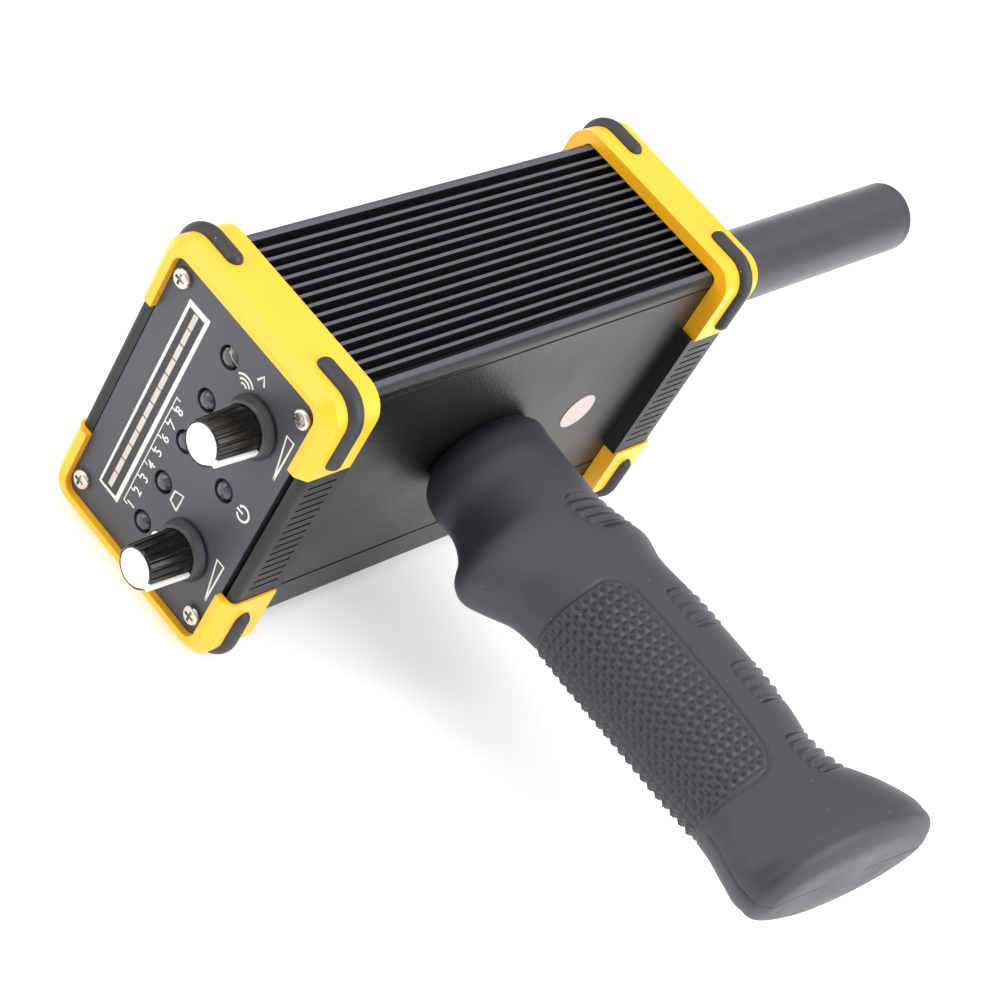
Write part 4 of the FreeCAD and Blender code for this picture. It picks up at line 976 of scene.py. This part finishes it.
@dataclass
class GripSleeve:
    """The moulded rubber sleeve: neck, thumb web, checkered palm, finger pads and flared butt.

    Each station is a section: its place down the grip, its centre along the tube, its half depth and half
    width in millimetres, and its tilt in degrees.
    """

    stations: tuple[tuple[float, float, float, float, float], ...] = (
        (25.5, -77.8, 16.2, 10.3, 0.0), (29.0, -79.6, 19.0, 13.2, 0.0), (34.5, -81.4, 19.8, 14.2, 0.0),
        (42.5, -82.0, 19.8, 14.1, 0.0), (50.0, -84.4, 22.4, 14.2, 0.0), (54.5, -87.3, 25.1, 14.4, 0.0),
        (58.5, -87.6, 26.2, 14.6, 0.0), (62.5, -85.7, 25.4, 14.8, 0.0), (68.0, -82.6, 23.7, 15.0, 0.0),
        (75.0, -82.6, 21.9, 14.6, 0.0), (86.0, -82.5, 22.1, 15.0, 0.0), (102.0, -82.6, 22.3, 15.1, 0.0),
        (123.0, -83.6, 21.9, 14.8, 0.0), (134.0, -84.5, 21.2, 14.3, 0.0), (140.0, -83.9, 22.4, 14.5, 1.0),
        (148.5, -81.0, 27.4, 15.8, 3.5), (156.4, -79.4, 30.1, 16.4, 6.5), (160.4, -79.4, 28.9, 14.7, 6.8),
        (162.0, -79.5, 26.0, 11.6, 6.8))
    # Grid, and the pyramids of the checkering, which keep to it.
    around: int = 264
    along: int = 304
    typical_half_mm: tuple[float, float] = (22.2, 15.0)
    fine_steps: int = 4001
    rows_per_pyramid: int = 6
    pyramid_high_mm: float = 1.0
    palm_mm: tuple[float, float] = (76.0, 135.5)
    palm_reach_mm: float = 26.6
    palm_corner_mm: float = 7.5
    palm_border_mm: float = 1.0
    ramp_mm: float = 0.6
    pyramid_sink_mm: float = 0.4
    palm_groove_mm: float = 0.6
    palm_groove_out_mm: float = 0.3
    # Ribbed finger pads on the front.
    pads_mm: tuple[float, ...] = (58.6, 91.6, 114.8, 135.9)
    pad_half_mm: float = 5.9
    pad_reach_mm: float = 26.0
    pad_corner_mm: float = 2.2
    pad_border_mm: float = 0.35
    pad_ramp_mm: float = 0.45
    pad_rib_mm: float = 0.9
    pad_sink_mm: float = 0.5
    pad_groove_mm: float = 0.75
    pad_groove_out_mm: float = 0.15
    # Mould seam down the back of the butt and across its end.
    parting_mm: float = 0.35
    seam_half_mm: float = 0.5
    seam_from_mm: float = 136.5
    seam_fade_mm: float = 2.0
    end_shrink: tuple[float, float] = (0.62, 0.25)
    weld_mm: float = 0.01
    shade_degrees: float = 50.0

    def sections(self, where: np.ndarray) -> np.ndarray:
        """Read the sleeve's section at many places with a smooth curve through its stations.

        Args:
            where: places down the grip, in millimetres.

        Returns:
            Centre, half depth, half width and tilt, one row for each place.
        """
        table = np.array(self.stations)
        known, values = table[:, 0], table[:, 1:]
        slope = np.gradient(values, known, axis=0)
        index = np.clip(np.searchsorted(known, where, side="right") - 1, 0, len(known) - 2)
        gap = (known[index + 1] - known[index])[:, None]
        part = ((where - known[index]) / gap[:, 0])[:, None]
        first = 2 * part**3 - 3 * part**2 + 1
        second = part**3 - 2 * part**2 + part
        third = -2 * part**3 + 3 * part**2
        fourth = part**3 - part**2
        return (first * values[index] + second * gap * slope[index] + third * values[index + 1]
                + fourth * gap * slope[index + 1])

    def angles(self) -> tuple[np.ndarray, np.ndarray]:
        """Space places evenly round the sleeve.

        Returns:
            The places as angles, and as distances from the middle of the back in millimetres.
        """
        fine = np.linspace(0.0, 2 * math.pi, self.fine_steps)
        deep, wide = self.typical_half_mm
        pace = np.hypot(deep * np.sin(fine), wide * np.cos(fine))
        run = np.concatenate(([0.0], np.cumsum((pace[1:] + pace[:-1]) / 2 * (fine[1] - fine[0]))))
        even = np.linspace(0.0, run[-1], self.around + 1)
        return np.interp(even, run, fine), even - run[-1] / 2

    def rounded(self, along: np.ndarray, across: np.ndarray, half: tuple[float, float],
                corner: float) -> np.ndarray:
        """Measure the distance to a rounded rectangle.

        Args:
            along: places along it from its middle.
            across: places across it from its middle.
            half: half its length and half its width.
            corner: its corner radius.

        Returns:
            The distances, below zero inside it.
        """
        reach_along = np.abs(along) - half[0] + corner
        reach_across = np.abs(across) - half[1] + corner
        outside = np.hypot(np.maximum(reach_along, 0.0), np.maximum(reach_across, 0.0))
        return outside + np.minimum(np.maximum(reach_along, reach_across), 0.0) - corner

    def relief(self, down: np.ndarray, back: np.ndarray) -> np.ndarray:
        """Return how far each point stands proud of the smooth sleeve.

        Args:
            down: places down the grip, in millimetres.
            back: distances round the sleeve from the middle of its back, in millimetres.

        Returns:
            Heights in millimetres.
        """
        middle = (self.palm_mm[0] + self.palm_mm[1]) / 2
        half = (self.palm_mm[1] - self.palm_mm[0]) / 2
        edge = self.rounded(down - middle, back, (half, self.palm_reach_mm), self.palm_corner_mm)
        pitch_down = self.rows_per_pyramid * (self.stations[-1][0] - self.stations[0][0]) / (self.along - 1)
        pitch_back = self.rows_per_pyramid * (back.max() - back.min()) / self.around
        side_down = np.mod((down - self.stations[0][0]) / pitch_down + NUDGE, 1.0) - 0.5
        side_back = np.mod(back / pitch_back + NUDGE, 1.0) - 0.5
        peak = 1.0 - 2.0 * np.maximum(np.abs(side_down), np.abs(side_back))
        inside = np.clip((-edge - self.palm_border_mm) / self.ramp_mm, 0.0, 1.0)
        height = inside * (self.pyramid_high_mm * peak - self.pyramid_sink_mm)
        rim = np.abs(edge + self.palm_groove_out_mm) / self.ramp_mm
        height -= self.palm_groove_mm * np.clip(1.0 - rim, 0.0, 1.0)
        half_round = (back.max() - back.min()) / 2
        front = half_round - np.abs(back)
        for centre in self.pads_mm:
            half_pad = (self.pad_half_mm, self.pad_reach_mm)
            pad = self.rounded(down - centre, front, half_pad, self.pad_corner_mm)
            within = np.clip((-pad - self.pad_border_mm) / self.pad_ramp_mm, 0.0, 1.0)
            ribs = 0.5 + 0.5 * np.cos(2 * math.pi * (down - centre) / pitch_down)
            height += within * (self.pad_rib_mm * ribs - self.pad_sink_mm)
            rim = np.abs(pad + self.pad_groove_out_mm) / self.ramp_mm
            height -= self.pad_groove_mm * np.clip(1.0 - rim, 0.0, 1.0)
        beside = np.clip(1.0 - np.abs(back) / self.seam_half_mm, 0.0, 1.0)
        seam = beside * np.clip((down - self.seam_from_mm) / self.seam_fade_mm, 0.0, 1.0)
        return height - self.parting_mm * seam

    def build(self) -> None:
        """Wrap a fine grid round the sections, raise its relief and close its ends."""
        deselect()
        bpy.ops.mesh.primitive_grid_add(x_subdivisions=self.around, y_subdivisions=self.along + 1, size=1.0)
        piece = bpy.context.object
        piece.name = "grip_rubber_sleeve"
        flat = points_of(piece.data)
        column = np.rint((flat[:, 0] + 0.5) * self.around).astype(int)
        ring = np.rint((flat[:, 1] + 0.5) * (self.along + 1)).astype(int)
        angle, back = self.angles()
        down = np.linspace(self.stations[0][0], self.stations[-1][0], self.along)
        down = np.append(down, [self.stations[-1][0]] * len(self.end_shrink))
        shrink = np.append(np.ones(self.along), self.end_shrink)
        centre, deep, wide, tilt = self.sections(down).T
        tilt = np.radians(tilt)
        turn = angle[column]
        height = self.relief(down[ring], back[column]) * (shrink[ring] == 1.0)
        deep_here = (deep[ring] + height) * shrink[ring]
        wide_here = (wide[ring] + height) * shrink[ring]
        points = np.empty_like(flat)
        points[:, 0] = down[ring] + deep_here * np.cos(turn) * np.sin(tilt[ring])
        points[:, 1] = centre[ring] + deep_here * np.cos(turn) * np.cos(tilt[ring])
        points[:, 2] = wide_here * np.sin(turn)
        round_back = np.minimum(np.abs(back[column]), back.max() - np.abs(back[column]))
        parting = (ring >= self.along - 1) & (round_back < self.parting_mm)
        points[parting, 0] -= self.parting_mm
        set_points(piece.data, points * MM)
        tidy(piece, self.weld_mm)
        bpy.ops.object.mode_set(mode="EDIT")
        bpy.ops.mesh.select_all(action="SELECT")
        bpy.ops.mesh.fill_holes(sides=0)
        bpy.ops.mesh.normals_make_consistent(inside=False)
        bpy.ops.object.mode_set(mode="OBJECT")
        soften(piece, self.shade_degrees)
        mount(piece, CASE, "grip_rubber", GRIP_RUBBER, "grip_sleeve")


# ------------------------------------------------------------------ tube


@dataclass
class SensingTube:
    """The black tube and its closed, softly rounded end."""

    tube_edge_mm: float = 0.15
    cap_edge_mm: float = 0.1

    def build(self) -> None:
        """Smooth the tube and its end cap."""
        barrel = worked_copy("sensing_tube", "sensing_tube_barrel", self.tube_edge_mm)
        mount(barrel, CASE, "tube_black", ANODISED_TUBE, "sensing_tube")
        cap = worked_copy("tube_end_cap", "tube_end_cap_turning", self.cap_edge_mm)
        mount(cap, CASE, "tube_black", ANODISED_TUBE, "tube_end_cap")


# ------------------------------------------------------------------ rest of the object


def dress_nodes() -> None:
    """Give every carried-over CAD node the finish of its slot."""
    for entry in frame["record"]["subparts"]:
        node = frame["nodes"][entry["node"]]
        finish = SLOT_FINISH[entry["material_slot"]].material()
        node.data.materials.clear()
        node.data.materials.append(finish)


# ------------------------------------------------------------------ studio


@dataclass
class Studio:
    """A pale, faintly lit floor, soft overhead light and the camera."""

    floor_size: float = 12.0
    floor_glow: float = 0.32
    room_strength: float = 0.78
    aim: tuple[float, float, float] = (0.03, -0.03, 0.0)
    sensor_mm: float = 36.0
    clip: tuple[float, float] = (0.02, 50.0)
    # Name, place, side in metres and power in watts.
    lamps: tuple[tuple[str, tuple[float, float, float], float, float], ...] = (
        ("overhead_box", (-0.1, 0.15, 1.3), 2.2, 14.0), ("front_fill", (-0.9, -1.1, 0.7), 1.0, 8.0),
        ("right_fill", (1.2, 0.3, 0.8), 1.2, 18.0), ("small_lamp", (-0.35, -0.85, 0.95), 0.06, 0.8))
    lens_mm: float = 98.12
    camera_place: tuple[float, float, float] = (0.24603, -0.54644, 0.41334)
    camera_right: tuple[float, float, float] = (0.623605, 0.65685, 0.423869)
    camera_forward: tuple[float, float, float] = (-0.314437, 0.707176, -0.633271)

    def floor(self) -> None:
        """Lay the floor at the object's lowest point."""
        deselect()
        low, _ = CAD_BOX
        bpy.ops.mesh.primitive_plane_add(size=self.floor_size, location=(0.0, 0.0, low[2]))
        ground = bpy.context.object
        ground.name = "studio_floor"
        paper = Finish("matt_paper", "#F6F6F6", "#F4F4F4", 0.9, grain_mm=2.0, grain_depth_mm=0.01,
                       mottle_mm=400.0)
        white = paper.material()
        lit = white.node_tree.nodes["Principled BSDF"]
        lit.inputs["Emission Color"].default_value = linear("#FFFFFF")
        lit.inputs["Emission Strength"].default_value = self.floor_glow
        ground.data.materials.append(white)

    def light(self, name: str, place: tuple[float, float, float], size: float, watts: float) -> None:
        """Hang one soft square light that faces the object.

        Args:
            name: name of the light.
            place: where it hangs, in metres.
            size: its side, in metres.
            watts: its power.
        """
        lamp = bpy.data.lights.new(name, "AREA")
        lamp.shape = "SQUARE"
        lamp.size = size
        lamp.energy = watts
        holder = bpy.data.objects.new(name, lamp)
        bpy.context.scene.collection.objects.link(holder)
        holder.location = place
        facing = Vector(self.aim) - Vector(place)
        holder.rotation_euler = facing.to_track_quat("-Z", "Y").to_euler()

    def lights(self) -> None:
        """Hang the overhead box, two fills and a small lamp that sparkles in the domes, in a white room."""
        for name, place, size, watts in self.lamps:
            self.light(name, place, size, watts)
        room = bpy.data.worlds.new("white_room")
        bpy.context.scene.world = room
        room.use_nodes = True
        sky = room.node_tree.nodes["Background"]
        sky.inputs["Color"].default_value = linear("#FFFFFF")
        sky.inputs["Strength"].default_value = self.room_strength

    def camera(self) -> None:
        """Stand the camera off to the operator's right, above the floor."""
        eye = bpy.data.cameras.new("studio_camera")
        eye.lens = self.lens_mm
        eye.sensor_width = self.sensor_mm
        eye.clip_start, eye.clip_end = self.clip
        stand = bpy.data.objects.new("studio_camera", eye)
        bpy.context.scene.collection.objects.link(stand)
        right = Vector(self.camera_right).normalized()
        back = -Vector(self.camera_forward).normalized()
        up = back.cross(right).normalized()
        right = up.cross(back)
        turn = Matrix((right, up, back)).transposed().to_4x4()
        turn.translation = Vector(self.camera_place)
        stand.matrix_world = turn
        bpy.context.scene.camera = stand
        bpy.context.scene.view_settings.view_transform = "Standard"

    def build(self) -> None:
        """Build the whole studio."""
        self.camera()
        self.floor()
        self.lights()


def main() -> None:
    """Build every sub-assembly in order and report it."""
    deselect()
    Studio().build()
    dress_nodes()
    Case().build()
    for side in Side:
        RotaryKnob(side).build()
    Lamps().build()
    PanelPrint().build()
    GripSleeve().build()
    SensingTube().build()
    deselect()


if __name__ == "__main__":
    main()
